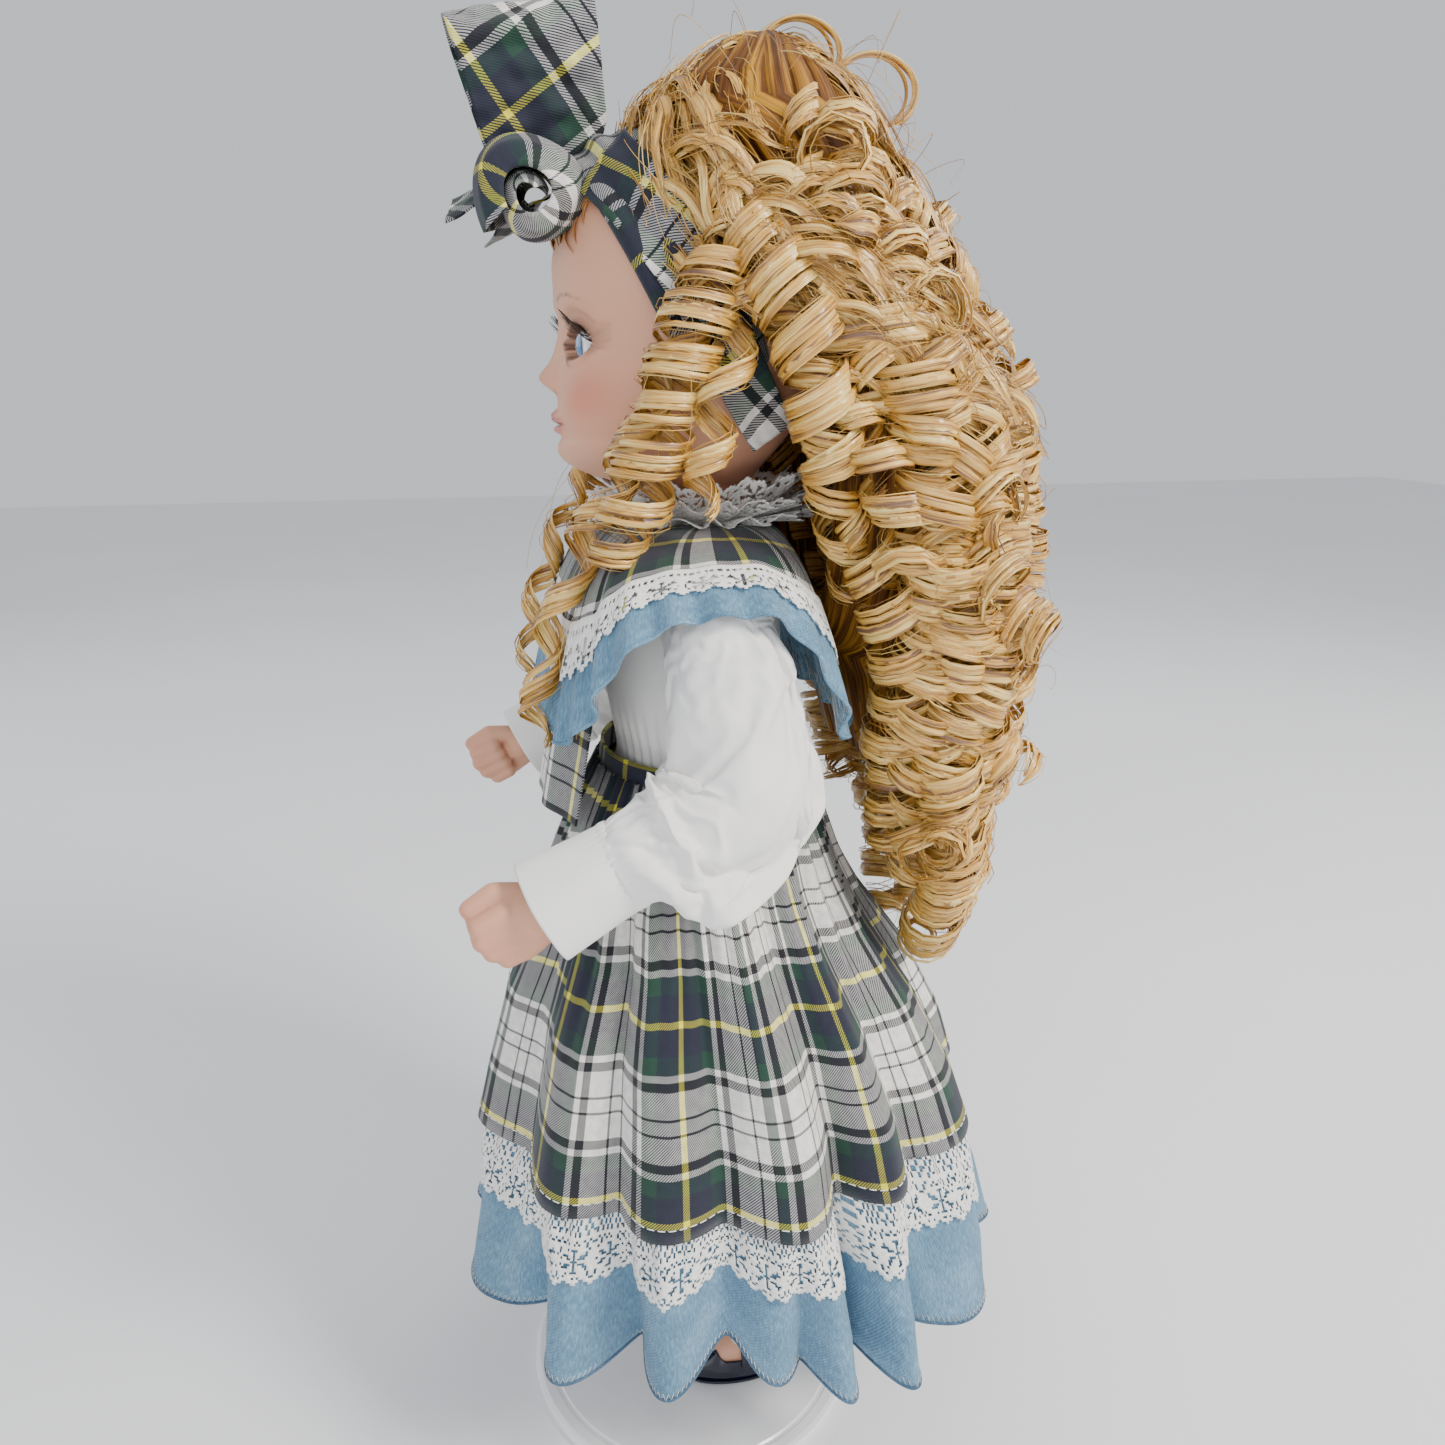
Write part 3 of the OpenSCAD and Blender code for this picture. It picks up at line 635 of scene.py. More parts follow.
def material_of(name):
    """Each material is made once, when a piece first asks for it."""
    if name not in MADE:
        c = colours()
        makers = {
            "tartan": tartan,
            "denim": lambda: denim("Washed_denim", tuple(c.denim), tuple(c.denim_painted_shade)),
            "denim_back_painted_shade": lambda: denim("Denim_underside_painted_shade", tuple(c.denim_painted_shade), shaded(c.denim_painted_shade, 0.5)),
            "cotton": lambda: plain_cotton("Blouse_cotton", tuple(c.cotton)),
            "calico": lambda: plain_cotton("Body_calico", linear("#E4D6BE"), 0.9),
            "lace": lace_thread,
            "enamel": lambda: enamel("White_enamel", tuple(c.enamel)),
            "steel": lambda: plain("Nickel_plated_steel", linear("#C4C6CA"), 0.3, 0.4, 0.02, 1.0),
            "vinyl_tip": lambda: plain("White_vinyl", linear("#E8E8E6"), 0.5, 0.5, 0.05),
            "card": lambda: plain("Pate_card", linear("#B79A6C"), 0.9, 0.8, 0.2),
            "beech": lambda: plain("Turned_beech", linear("#C79A62"), 0.6, 0.7, 0.1),
            "felt": lambda: plain("Wool_felt", linear("#8A7458"), 1.0, 0.3, 0.3),
            "bisque": bisque,
            "eye": glass_eye,
            "hair": lambda: hair("Golden_hair_fibre", tuple(c.hair_painted_shade), tuple(c.hair), tuple(c.hair_painted_highlight)),
            # Painted shade: the hair under the locks gets darker copies of the hair colours, so the gaps
            # between the locks read as shaded.
            "hair_under_painted_shade": lambda: hair("Under_hair_painted_shade", shaded(c.hair_painted_shade, 0.4), tuple(c.hair_painted_shade),
                                      shaded(c.hair, 0.7), 0.6, 0.0),
            "hair_copper": lambda: hair("Copper_hair_fibre", linear("#8A4A1C"), linear("#CF8B42"),
                                        linear("#EDBE7C")),
            "lash": lambda: plain("Lash_fibre", linear("#2A1A14"), 0.5, 0.3, 0.02),
            "shoe": lambda: plain("Navy_vinyl", tuple(c.shoe), 0.28, 1.2, 0.06),
            "thread": lambda: plain("Yellow_thread", linear("#E3D46A"), 0.6, 0.4, 0.1),
        }
        MADE[name] = makers[name]()
    return MADE[name]


# ---- skirt, lace and ruffle ----------------------------------------------------------------------
# Height, middle in Y, half width, half depth: the bell of the skirt from waist to seam.
BELL = np.array([[241, 3, 36, 31], [225, 3, 44, 39], [208, 3, 50, 45], [190, 5, 57, 52], [165, 8, 66.5, 65.5],
                 [138, 11, 74, 75], [119, 12, 77.5, 79.5]], float)
RUFFLE = np.array([[124, 12, 74, 76], [119, 12, 75, 77], [108, 12.5, 77.5, 79.5], [92, 13.5, 79, 83],
                   [78, 14.5, 79.5, 86], [50, 15, 80, 89]], float)
SEAM_Z, HEM_Z = 119.0, 62.0
FOLD_DEPTH = 7.2               # of the skirt's deep folds where the ruffle is sewn on


def bell_point(table, z, angle, grow):
    """Points on an oval bell at heights z and angles, moved outwards by grow."""
    order = np.argsort(table[:, 0])
    middle, half_x, half_y = (np.interp(z, table[order, 0], table[order, k]) for k in (1, 2, 3))
    x = (half_x + grow) * np.cos(angle)
    y = middle + (half_y + grow) * np.sin(angle)
    return np.stack([x, y, np.broadcast_to(z, x.shape)], -1)


def fold_phase(angle, count, seed):
    """A phase that runs through count folds of uneven width round the circle."""
    rng = np.random.default_rng(seed)
    phase = count * angle
    for k in range(1, 7):
        phase = phase + rng.uniform(0.25, 0.75) * np.sin(k * angle + rng.uniform(0, TAU)) * 6 / (k + 3)
    return phase


def round_folds(phase):
    """Broad rounded crests and narrow valleys, from -1 to 1."""
    return 2 * np.sqrt(np.cos(phase / 2) ** 2 + 0.02) - 1.2


def uneven(angle, seed, low=0.6, high=1.3):
    """A smooth strength that differs from fold to fold."""
    rng = np.random.default_rng(seed)
    total = sum(rng.uniform(0.4, 1) * np.sin(k * angle + rng.uniform(0, TAU)) for k in (2, 3, 5, 7))
    return low + (high - low) * (0.5 + 0.25 * np.clip(total, -2, 2))


def skirt_folds(angle):
    return round_folds(fold_phase(angle, sizes().skirt_folds, 11)) * uneven(angle, 12)


def skirt_surface(angle, z):
    """The tartan skirt: fine gathers at the waist that run together into deep folds at the seam."""
    fall = np.clip((241 - z) / (241 - SEAM_Z), 0, 1)
    gathers = np.cos(fold_phase(angle, 62, 13)) * (1.0 * (1 - fall) ** 2 + 0.05)
    middle = np.cos(fold_phase(angle, 27, 14)) * 0.9 * np.sin(math.pi * np.clip(fall * 1.25, 0, 1)) ** 2
    sway = 1.5 * np.sin(3 * angle + 4 * fall)
    folds = skirt_folds(angle + 0.05 * np.sin(3 * fall + 2)) * FOLD_DEPTH * fall ** 0.8
    return bell_point(BELL, z, angle, gathers + middle + folds + sway * fall)


def ruffle_surface(angle, z, grow=0.0):
    """The denim ruffle: it follows the skirt's folds at the seam and swings out in its own below."""
    fall = np.clip((124 - z) / (124 - HEM_Z), 0, 1)
    side = (angle + math.pi) % TAU - math.pi
    near = np.exp(-((side + 0.02) / 0.3) ** 2)
    tuck = np.exp(-((side + 0.22) / 0.12) ** 2) * fall
    own = round_folds(fold_phase(angle - 0.24 * near, sizes().ruffle_folds, 21))
    own = own * uneven(angle, 22, 0.7, 1.25) * (1 - 0.25 * near)
    fine = np.cos(fold_phase(angle, 58, 23)) * 1.0 * np.exp(-((fall - 0.14) / 0.16) ** 2)
    carry = skirt_folds(angle + 0.05 * math.sin(5)) * FOLD_DEPTH * (1 - 0.6 * fall)
    sway = 1.5 * np.sin(3 * angle + 4) * (1 - fall)
    out = own * 11.5 * fall ** 1.1 + carry + fine + sway - 10 * tuck
    height = z + 15 * tuck - fall * (2.5 * own + 6.5 * np.sin(angle) - 4 * near)
    return bell_point(RUFFLE, height, angle, out + grow)


def ring_of_stitches(name, surface, z, pitch, dash, radius, lift):
    """A row of dashes of thread on a surface, at one height."""
    heap = Heap()
    ring = surface(ring_angles(720), np.full(720, z), lift)
    length = arc_lengths(ring, True)
    closed = np.vstack([ring, ring[:1]])
    for start in np.arange(0, length[-1] - dash, pitch):
        at = np.linspace(start, start + dash, 4)
        heap.strand(at_lengths(at, length, closed), radius, 4)
    return heap.piece(name)


def make_skirt():
    angle = ring_angles(640)
    z = np.linspace(241, SEAM_Z, 32)
    points = skirt_surface(angle[:, None] * np.ones(32), z[None, :] * np.ones((640, 1)))
    across, along = cloth_uvs(points, True)
    skirt = grid_piece("skirt_tartan", points, across + 11.0, along - 8.9, flip=True)
    thicken(skirt, 0.5)
    wear(skirt, "tartan", "figure", ["skirt"])

    def lifted(a, h, lift):
        p = skirt_surface(a, h)
        return p + lift * unit((p - [0, 12, 0]) * [1, 1, 0])

    stitches = ring_of_stitches("skirt_topstitch", lifted, SEAM_Z + 4.5, 3.2, 2.2, 0.22, 0.45)
    wear(stitches, "lace", "figure")


def make_ruffle():
    angle = ring_angles(820)
    rows = 28
    z = np.linspace(124, HEM_Z, rows)
    points = ruffle_surface(angle[:, None] * np.ones(rows), z[None, :] * np.ones((820, 1)))
    across, along = cloth_uvs(points, True)
    ruffle = grid_piece("ruffle_denim", points, across, along, flip=True)
    thicken(ruffle, 0.6)
    wear(ruffle, "denim", "figure", ["denim_ruffle"])
    edge = points[:, -1] + [0, 0, 0.2]
    hem = Heap()
    hem.strand(np.vstack([edge, edge[:1]]), 0.75, 8)
    # Painted shade: the rolled hem is coloured with the dark denim, as the shaded underside of the ruffle.
    wear(hem.piece("ruffle_rolled_hem"), "denim_back_painted_shade", "figure")
    overlock("ruffle_overlock", edge, 0.6 * points[:, -3] + 0.4 * edge,
             lambda p: 0.55 * unit((p - [0, 14, 0]) * [1, 1, 0]), 0.9, 0.13)


def overlock(name, edge, inner, lift, pitch, radius=0.14):
    """The zigzag of thread that holds a rolled hem, along an edge that closes."""
    thread = Heap()
    ring, inside = np.vstack([edge, edge[:1]]), np.vstack([inner, inner[:1]])
    length = arc_lengths(ring, False)
    at = np.arange(0, length[-1], pitch)
    zig, zag = at_lengths(at, length, ring), at_lengths(at, length, inside)
    path = np.where((np.arange(len(at)) % 2 == 0)[:, None], zig, zag)
    thread.strand(path + lift(path), radius, 3)
    return wear(thread.piece(name), "lace", "figure")


LACE_REPEAT = 11.0             # width in millimetres of one scallop and its flower


def lace_mask(u, v, width):
    """Where a cluny lace strip has thread. v runs from the sewn edge, 0, to the scalloped edge."""
    period = LACE_REPEAT
    s = (u % period) - period / 2
    scallop = width - 1.9 * (1 - np.abs(np.cos(math.pi * u / (period / 2)))) - 0.3
    edge = (v < scallop)
    net_pitch = 1.9
    row = np.floor(v / net_pitch)
    hole = np.hypot(((u + (row % 2) * net_pitch / 2) % net_pitch) - net_pitch / 2,
                    (v % net_pitch) - net_pitch / 2) < 0.62
    top_band = v < 1.3
    bead = (np.abs(v - 0.34 * width) < 0.7)
    flower_v = 0.66 * width
    dist = np.hypot(s, v - flower_v)
    turn = np.arctan2(v - flower_v, s)
    petals = (dist < 4.4) & (dist > 1.0) & (np.cos(6 * turn) > -0.25)
    ring = np.abs(dist - 5.1) < 0.55
    gap = (dist < 4.7) & ~petals
    cord = scallop - v < 1.2
    solid = top_band | bead | ring | cord | petals | (~hole & ~gap)
    return edge & solid


def lace_strip(name, points, replaces, thickness=0.35, flip=True):
    """A strip of lace from a fine grid whose holes are left open, with a whole number of repeats."""
    across, along = cloth_uvs(points, True)
    across = across * (round(across[-1, 0] / LACE_REPEAT) * LACE_REPEAT / across[-1, 0])
    centre_u = (across[:-1, :-1] + across[1:, 1:]) / 2
    centre_v = (along[:-1, :-1] + along[1:, 1:]) / 2
    keep = lace_mask(centre_u, centre_v, along[0, -1])
    keep = np.hstack([keep, np.zeros((keep.shape[0], 1), bool)])
    piece = grid_piece(name, points, across, along, True, flip, keep)
    bm = bmesh.new()
    bm.from_mesh(piece.data)
    bmesh.ops.delete(bm, geom=[v for v in bm.verts if not v.link_faces], context="VERTS")
    bm.to_mesh(piece.data)
    bm.free()
    thicken(piece, thickness)
    return wear(piece, "lace", "figure", replaces)


def make_skirt_lace():
    columns, rows = 920, 26
    angle = ring_angles(columns)
    z = np.linspace(SEAM_Z + 1.2, 97, rows)
    points = ruffle_surface(angle[:, None] * np.ones(rows), z[None, :] * np.ones((columns, 1)), 1.1)
    flare = np.linspace(0, 1, rows)[None, :] * (0.6 + 0.7 * np.cos(fold_phase(angle, 46, 31)))[:, None]
    points = points + flare[..., None] * unit((points - [0, 13, 0]) * [1, 1, 0])
    lace = lace_strip("skirt_lace_flounce", points, ["skirt_lace"])


# ---- collar and bodice ---------------------------------------------------------------------------
def collar_point(angle, s):
    """The collar's surface: s runs from the neck, 0, over the shoulders to the edge, 1."""
    def corner(v, reach):
        return reach * np.sign(v) * np.sqrt(np.abs(v))

    low = np.abs(np.sin(angle)) ** 1.5
    depth = np.where(np.sin(angle) < 0, 43.0, 40.0)
    c, d = np.cos(angle), np.sin(angle)
    neck = np.stack([20.5 * c, 4 + 20 * d, 315.4 - 1.4 * low], -1)
    middle = np.stack([0.72 * corner(c, 62), 0.74 * corner(d, depth), 313 - 9.5 * low], -1)
    edge = np.stack([corner(c, 62), corner(d, depth), 301 - 33 * low], -1)
    s = s[..., None]
    return (1 - s) * (1 - 2 * s) * neck + 4 * s * (1 - s) * middle + s * (2 * s - 1) * edge


def collar_angles(count):
    """Angles that space the collar's edge evenly."""
    u = np.linspace(0, 4, 1601)
    part = u - np.floor(u)
    fine = (np.floor(u) + part * part * (3 - 2 * part)) * math.pi / 2
    length = arc_lengths(collar_point(fine, np.ones(len(fine))), False)
    return np.interp(np.linspace(0, length[-1], count + 1)[:-1], length, fine)


def collar_grid(s_from, s_to, rows, lift=0.0, ruffle=0.0, count=520):
    """A strip of the collar with its soft waves."""
    angle = collar_angles(count)
    s = np.linspace(s_from, s_to, rows)
    a = angle[:, None] * np.ones(rows)
    sides = s[None, :] * np.ones((count, 1))
    points = collar_point(a, sides)
    normal = -grid_normals(points, True)
    share = ring_angles(count)
    wave = round_folds(fold_phase(share, 13, 41)) * uneven(share, 42, 0.5, 1.3)
    small = np.cos(fold_phase(share, 31, 43))
    grow = wave[:, None] * 2.6 * np.clip(sides - 0.35, 0, 1) ** 1.3
    grow = grow + small[:, None] * (0.5 * sides ** 2 + ruffle * np.clip((sides - 0.8) / 0.2, 0, 1.2))
    points = points + normal * (grow + lift)[..., None]
    way = np.arctan2(points[..., 1], np.abs(points[..., 0]))
    droop = 11 * np.exp(-((way - 0.62) / 0.25) ** 2) + 7 * np.exp(-((way + 0.68) / 0.25) ** 2)
    points[..., 2] -= droop * np.clip((sides - 0.55) / 0.45, 0, 1.1) ** 1.5
    return points


def make_collar():
    points = collar_grid(0.0, 0.86, 18)
    across, along = cloth_uvs(points, True)
    yoke = thicken(grid_piece("collar_yoke", points, across - 8, along - 20), 0.6)
    wear(yoke, "tartan", "figure", ["collar_tartan"])
    points = collar_grid(0.78, 1.06, 13, -0.4, 0.9)
    edge = ring_cloth("collar_ruffle_denim", points, 0.6)
    wear(edge, "denim", "figure", ["collar_denim"])
    under = grid_normals(points, True)
    overlock("collar_overlock", points[:, -1] + 0.5 * under[:, -1], points[:, -5] + 0.5 * under[:, -5],
             lambda p: 0 * p, 1.1)
    hem = Heap()
    hem.strand(np.vstack([points[:, -1], points[:1, -1]]), 0.6, 6)
    wear(hem.piece("collar_hem"), "denim", "figure")
    points = collar_grid(0.72, 0.9, 18, 0.9, 0.4, 800)
    lace = lace_strip("collar_lace_strip", points, ["collar_lace"], flip=False)


def loft(table, angle, rows=30):
    """An oval sheath from a table of height, middle in Y, half width and half depth."""
    table = np.asarray(table, float)
    z = np.linspace(table[0, 0], table[-1, 0], rows)
    return bell_point(table, z[None, :] * np.ones((len(angle), 1)), angle[:, None] * np.ones(rows), 0)


def make_bodice():
    angle = ring_angles(360)
    table = [[311, 5, 19, 18], [305, 4, 30, 21.5], [296, 1.5, 38, 25.5], [282, 1, 35, 27.5], [262, 2, 31, 26],
             [246, 3.5, 30, 25], [238, 4, 30, 25]]
    points = loft(table, angle)
    crease = np.array([noise.noise(Vector(p / 14)) for p in points.reshape(-1, 3)]).reshape(points.shape[:2])
    pleat = 0.7 * np.cos(fold_phase(angle, 40, 51))[:, None] * np.clip((265 - points[..., 2]) / 27, 0, 1)
    points = points + grid_normals(points, True) * (crease * 1.2 - pleat)[..., None] * -1
    body = ring_cloth("bodice_cotton", points, 0.5, True)
    wear(body, "cotton", "figure", ["blouse_bodice"])

    points = loft([[246.5, 3, 34, 29.5], [243, 3, 34.5, 30], [238.5, 3, 35, 30.5]], angle, 6)
    band = ring_cloth("waistband_tartan", points, 1.0, True)
    wear(band, "tartan", "figure", ["waistband"])

    a = np.linspace(0, TAU, 40)
    turn = math.radians(30) + 1.2
    ring = np.stack([35.2 + 3.2 * np.cos(a) * math.cos(turn), 22.5 + 3.2 * np.cos(a) * math.sin(turn),
                     246 + 2.4 * np.sin(a)], 1)
    loop = Heap()
    loop.strand(ring, 0.35, 6)
    wear(loop.piece("waist_thread_loop"), "thread", "figure", ["waist_loop"])

    # The bib: tartan that hangs from the collar's front.
    x = np.linspace(-27, 27, 110)
    z = np.linspace(272, 231, 40)
    grid_x, grid_z = np.meshgrid(x, z, indexing="ij")
    bow = 3.0 * (grid_x / 27) ** 2 * 3
    bib = np.stack([grid_x * (1 + 0.1 * (272 - grid_z) / 41),
                    -46.5 + bow + (grid_z - 231) / 41 * 8 + 0.8 * np.cos(grid_x / 3.2), grid_z], -1)
    across, along = cloth_uvs(bib, False)
    panel = thicken(grid_piece("bib_tartan", bib, across, along, False), 0.6)
    wear(panel, "tartan", "figure", ["bib_front"])

    table = [[236, 3, 34, 29], [225, 3, 39, 34], [208, 3, 44, 39], [190, 5, 50, 45.5], [165, 8, 57, 56],
             [138, 11, 62.5, 64], [113, 12, 66, 68.5], [94, 12, 67, 69.5]]
    angle = ring_angles(320)
    points = loft(table, angle)
    fall = (236 - points[..., 2]) / 158
    pleat = -2.2 * fall * np.cos(fold_phase(angle, 24, 52))[:, None]
    points = points + grid_normals(points, True) * pleat[..., None]
    under = ring_cloth("petticoat_cotton", points, 0.4, True)
    wear(under, "cotton", "figure", ["petticoat"])


def make_neck_ruffle():
    """Three tiers of fluffy lace that stand up round the neck."""
    tiers = ((313.6, 328, 15, 13), (314.6, 322, 19, 16), (315, 317.5, 20, 18))
    for tier, (low, high, reach, folds) in enumerate(tiers):
        columns, rows = 420, 28
        angle = ring_angles(columns)
        t = np.linspace(0, 1, rows)
        wave = np.cos(fold_phase(angle, folds, 60 + tier))[:, None]
        r = 16.5 + reach * 0.85 * t[None, :] ** 1.2 + 1.9 * wave * t[None, :]
        z = low + (high - low) * t[None, :] - 1.4 * np.sin(fold_phase(angle, folds, 60 + tier))[:, None] * t
        a = angle[:, None] + 0.04 * np.sin(fold_phase(angle, folds, 66 + tier))[:, None] * t[None, :]
        points = np.stack([r * np.cos(a), 5 + r * np.sin(a), z], -1)
        lace = lace_strip(f"neck_lace_{tier}", points, ["neck_ruffle"] if tier == 0 else (), 0.3, False)


# ---- sleeves, cuffs and hands --------------------------------------------------------------------
SHOULDER, ELBOW = np.array([48.0, 1, 287]), np.array([68.0, 2, 252])
FORE = np.array([0, -0.886, -0.464])
RISE = np.array([0, -0.464, 0.886])


def mirrored(points, side):
    return points * [side, 1, 1]


def sleeve_frame(count):
    """The sleeve's centre line from the armhole round the elbow to the cuff, with its cross axes."""
    path = spline([SHOULDER + [-3, 0, 6], SHOULDER + [3, 0, -2], ELBOW + [-4, 4, 12], ELBOW + [1, 1, -2],
                   ELBOW + FORE * 18 + [1, 0, 0], ELBOW + FORE * 36 + [0.5, 0, 0]], count)
    side, up = carried_frame(path)
    return path, side, up


def make_sleeve(side):
    name = "left" if side > 0 else "right"
    columns, rows = 84, 60
    path, across_axis, up_axis = sleeve_frame(rows)
    t = np.linspace(0, 1, rows)
    radius = np.interp(t, [0, 0.08, 0.25, 0.5, 0.68, 0.85, 0.96, 1], [12, 13.8, 17, 21, 20, 16, 12.2, 11.2])
    a = ring_angles(columns)
    gather = 0.35 * np.cos(fold_phase(a, 26, 71))[:, None] * (np.exp(-((t - 0.02) / 0.05) ** 2)
                                                             + np.exp(-((t - 1) / 0.08) ** 2))[None, :]
    r = radius[None, :] + gather
    points = (path[None] + across_axis[None] * (np.cos(a)[:, None] * r)[..., None]
              + up_axis[None] * (np.sin(a)[:, None] * r)[..., None])
    points = mirrored(points, side)
    across, along = cloth_uvs(points, True, 50)
    sleeve = grid_piece(f"{name}_sleeve", points, across, along, flip=side < 0)
    billow(sleeve, columns, rows, side)
    add_modifier(sleeve, "SUBSURF", levels=1)
    apply_all(sleeve)
    thicken(sleeve, 0.5, -1.0)
    wear(sleeve, "cotton", None,
         [f"{name}_upper_sleeve", f"{name}_lower_sleeve"])
    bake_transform(sleeve)


def billow(piece, columns, rows, side):
    """Lets a sleeve that is cut too big for its arm blow out and crumple between its two seams, round a
    stand-in for the arm that is taken away again."""
    inner = Heap()
    path = spline([SHOULDER + [-3, 0, 7], SHOULDER + [2, 0, -4], (SHOULDER + ELBOW) / 2, ELBOW,
                   ELBOW + FORE * 14, ELBOW + FORE * 37], 40)
    inner.limb(path, np.interp(np.arange(40), [0, 12, 24, 39], [12.5, 13, 12, 9]), 28, side)
    arm = inner.piece("arm_stand_in")
    if side < 0:
        arm.data.flip_normals()
    arm.modifiers.new("Collision", "COLLISION")
    arm.collision.thickness_outer = 0.001
    held = piece.vertex_groups.new(name="held")
    ends = [c * rows + r for c in range(columns) for r in (0, 1, rows - 2, rows - 1)]
    held.add(ends, 1.0, "REPLACE")
    cloth = piece.modifiers.new("Cloth", "CLOTH")
    s = cloth.settings
    s.quality, s.mass, s.vertex_group_mass = 6, 0.12, "held"
    s.tension_stiffness = s.compression_stiffness = 25
    s.shear_stiffness, s.bending_stiffness = 8, 1.0
    s.shrink_min, s.shrink_max = -0.17, -0.17
    s.use_pressure, s.uniform_pressure_force = True, 1.7
    s.effector_weights.gravity = 0.15
    cloth.collision_settings.use_self_collision = False
    cloth.collision_settings.distance_min = 0.001
    scene = bpy.context.scene
    for frame_number in range(1, 26):
        scene.frame_set(frame_number)
    apply_all(piece)
    scene.frame_set(1)
    bpy.data.objects.remove(arm)


def fore_tube(stations, columns, rows, wobble=0.0, seed=1, oval=1.0):
    """A tube round the forearm from (distance from the elbow, radius) pairs."""
    stations = np.asarray(stations, float)
    d = np.linspace(stations[0, 0], stations[-1, 0], rows)
    r = np.interp(d, stations[:, 0], stations[:, 1])
    a = ring_angles(columns)
    rng = np.random.default_rng(seed)
    wave = sum(rng.uniform(0.3, 1) * np.cos(k * a + rng.uniform(0, TAU)) for k in (2, 3, 5))
    r = r[None, :] + wobble * wave[:, None] * np.linspace(0.3, 1, rows)[None, :]
    return (ELBOW + FORE * d[None, :, None] + np.array([1.0, 0, 0]) * (np.cos(a)[:, None] * r)[..., None]
            + RISE * (np.sin(a)[:, None] * r * oval)[..., None])


def make_cuff(side):
    name = "left" if side > 0 else "right"
    stations = [(33.4, 11.6), (35, 11.9), (36, 11.6), (48, 12.4), (58.4, 13.2)]
    points = fore_tube(stations, 160, 40, 0.35, 5 + side, 1.04)
    gathers = np.cos(np.linspace(0, 40 * TAU, 161)[:-1])
    ripple = 0.25 * gathers[:, None] * np.exp(-np.linspace(0, 6, 40))[None, :]
    centre = ELBOW + FORE * np.linspace(33.4, 58.4, 40)[None, :, None]
    points = points + unit(points - centre) * ripple[..., None]
    points = mirrored(points, side)
    cuff = ring_cloth(f"{name}_cuff_cotton", points, 0.9, side < 0, -1.0)
    wear(cuff, "cotton", f"{name}_forearm", [f"{name}_cuff"])


def make_hand(side):
    """A closed porcelain fist on its forearm, cast in one piece."""
    name = "left" if side > 0 else "right"

    def at(along, out, up):
        return ELBOW + FORE * along + np.array([out, 0, 0]) + RISE * up

    rods = [((12, 0, 0), (50, 0, 0), 8.0, 6.6), ((50, 0, 0), (60, 0, 0), 6.6, 6.8)]
    for up in (-4.6, -1.5, 1.5, 4.6):
        rods.append(((58, 0.4, up * 0.55), (67, 1.2, up), 5.2, 4.6))
    for k, up in enumerate((6.2, 2.3, -1.7, -5.5)):
        r = (3.0, 3.1, 3.0, 2.7)[k]
        ahead = (73.5, 74.6, 74.0, 72.0)[k]
        rods += [((66.5, 3.0, up), (ahead, 2.6, up * 0.98), r, r),
                 ((ahead, 2.6, up * 0.98), (ahead + 0.8, -3.4, up), r, r - 0.1),
                 ((ahead + 0.8, -3.4, up), (67.5, -5.8, up * 0.95), r - 0.1, r - 0.3)]
    rods += [((60, -2, 5.0), (67, -2.4, 10.0), 3.6, 3.1), ((67, -2.4, 10.0), (74.2, -2.0, 9.8), 3.1, 2.6)]
    heap = Heap()
    for first, last, r0, r1 in rods:
        a, b = at(*first), at(*last)
        length = np.linalg.norm(b - a)
        d = np.concatenate([-r0 * np.cos(np.linspace(0, math.pi / 2, 7)), np.linspace(0, length, 8)[1:-1],
                            length + r1 * np.sin(np.linspace(0, math.pi / 2, 7))])
        full = np.interp(d, [0, length], [r0, r1])
        r = np.where(d < 0, np.sqrt(np.maximum(r0 ** 2 - d ** 2, 0.01)), full)
        r = np.where(d > length, np.sqrt(np.maximum(r1 ** 2 - (d - length) ** 2, 0.01)), r)
        path = a + (b - a) / length * d[:, None]
        one, two = carried_frame(path)
        heap.add(path, one, two, r, r, 20)
    hand = heap.piece(f"{name}_hand")
    add_modifier(hand, "REMESH", mode="VOXEL", voxel_size=0.6 * MM)
    add_modifier(hand, "SMOOTH", factor=0.5, iterations=7)
    apply_all(hand)
    hand.data.vertices.foreach_set("co", mirrored(points_of(hand.data), side).ravel())
    if side < 0:
        hand.data.flip_normals()
    smooth(hand)
    paint_hand(hand, side)
    wear(hand, "bisque", f"{name}_forearm", [f"{name}_forearm"])


def paint_hand(hand, side):
    """Tints the fist: a deeper flush at the knuckles and the ends of the fingers."""
    co = mirrored(points_of(hand.data) / MM, side)
    ahead = (co - ELBOW) @ FORE
    flush = np.clip((ahead - 64) / 12, 0, 1) * 0.35
    paint_layer(hand, flush[:, None] * np.array([1.0, 0, 0]), np.zeros(len(co)))


def paint_layer(piece, marks, dark):
    """Stores paint on the points: red is blush, green is lip colour and blue is brown."""
    layer = piece.data.color_attributes.new(name="Paint", type="FLOAT_COLOR", domain="POINT")
    values = np.ones((len(marks), 4))
    values[:, :3] = marks
    values[:, 3] = 1 - dark
    layer.data.foreach_set("color", values.ravel())


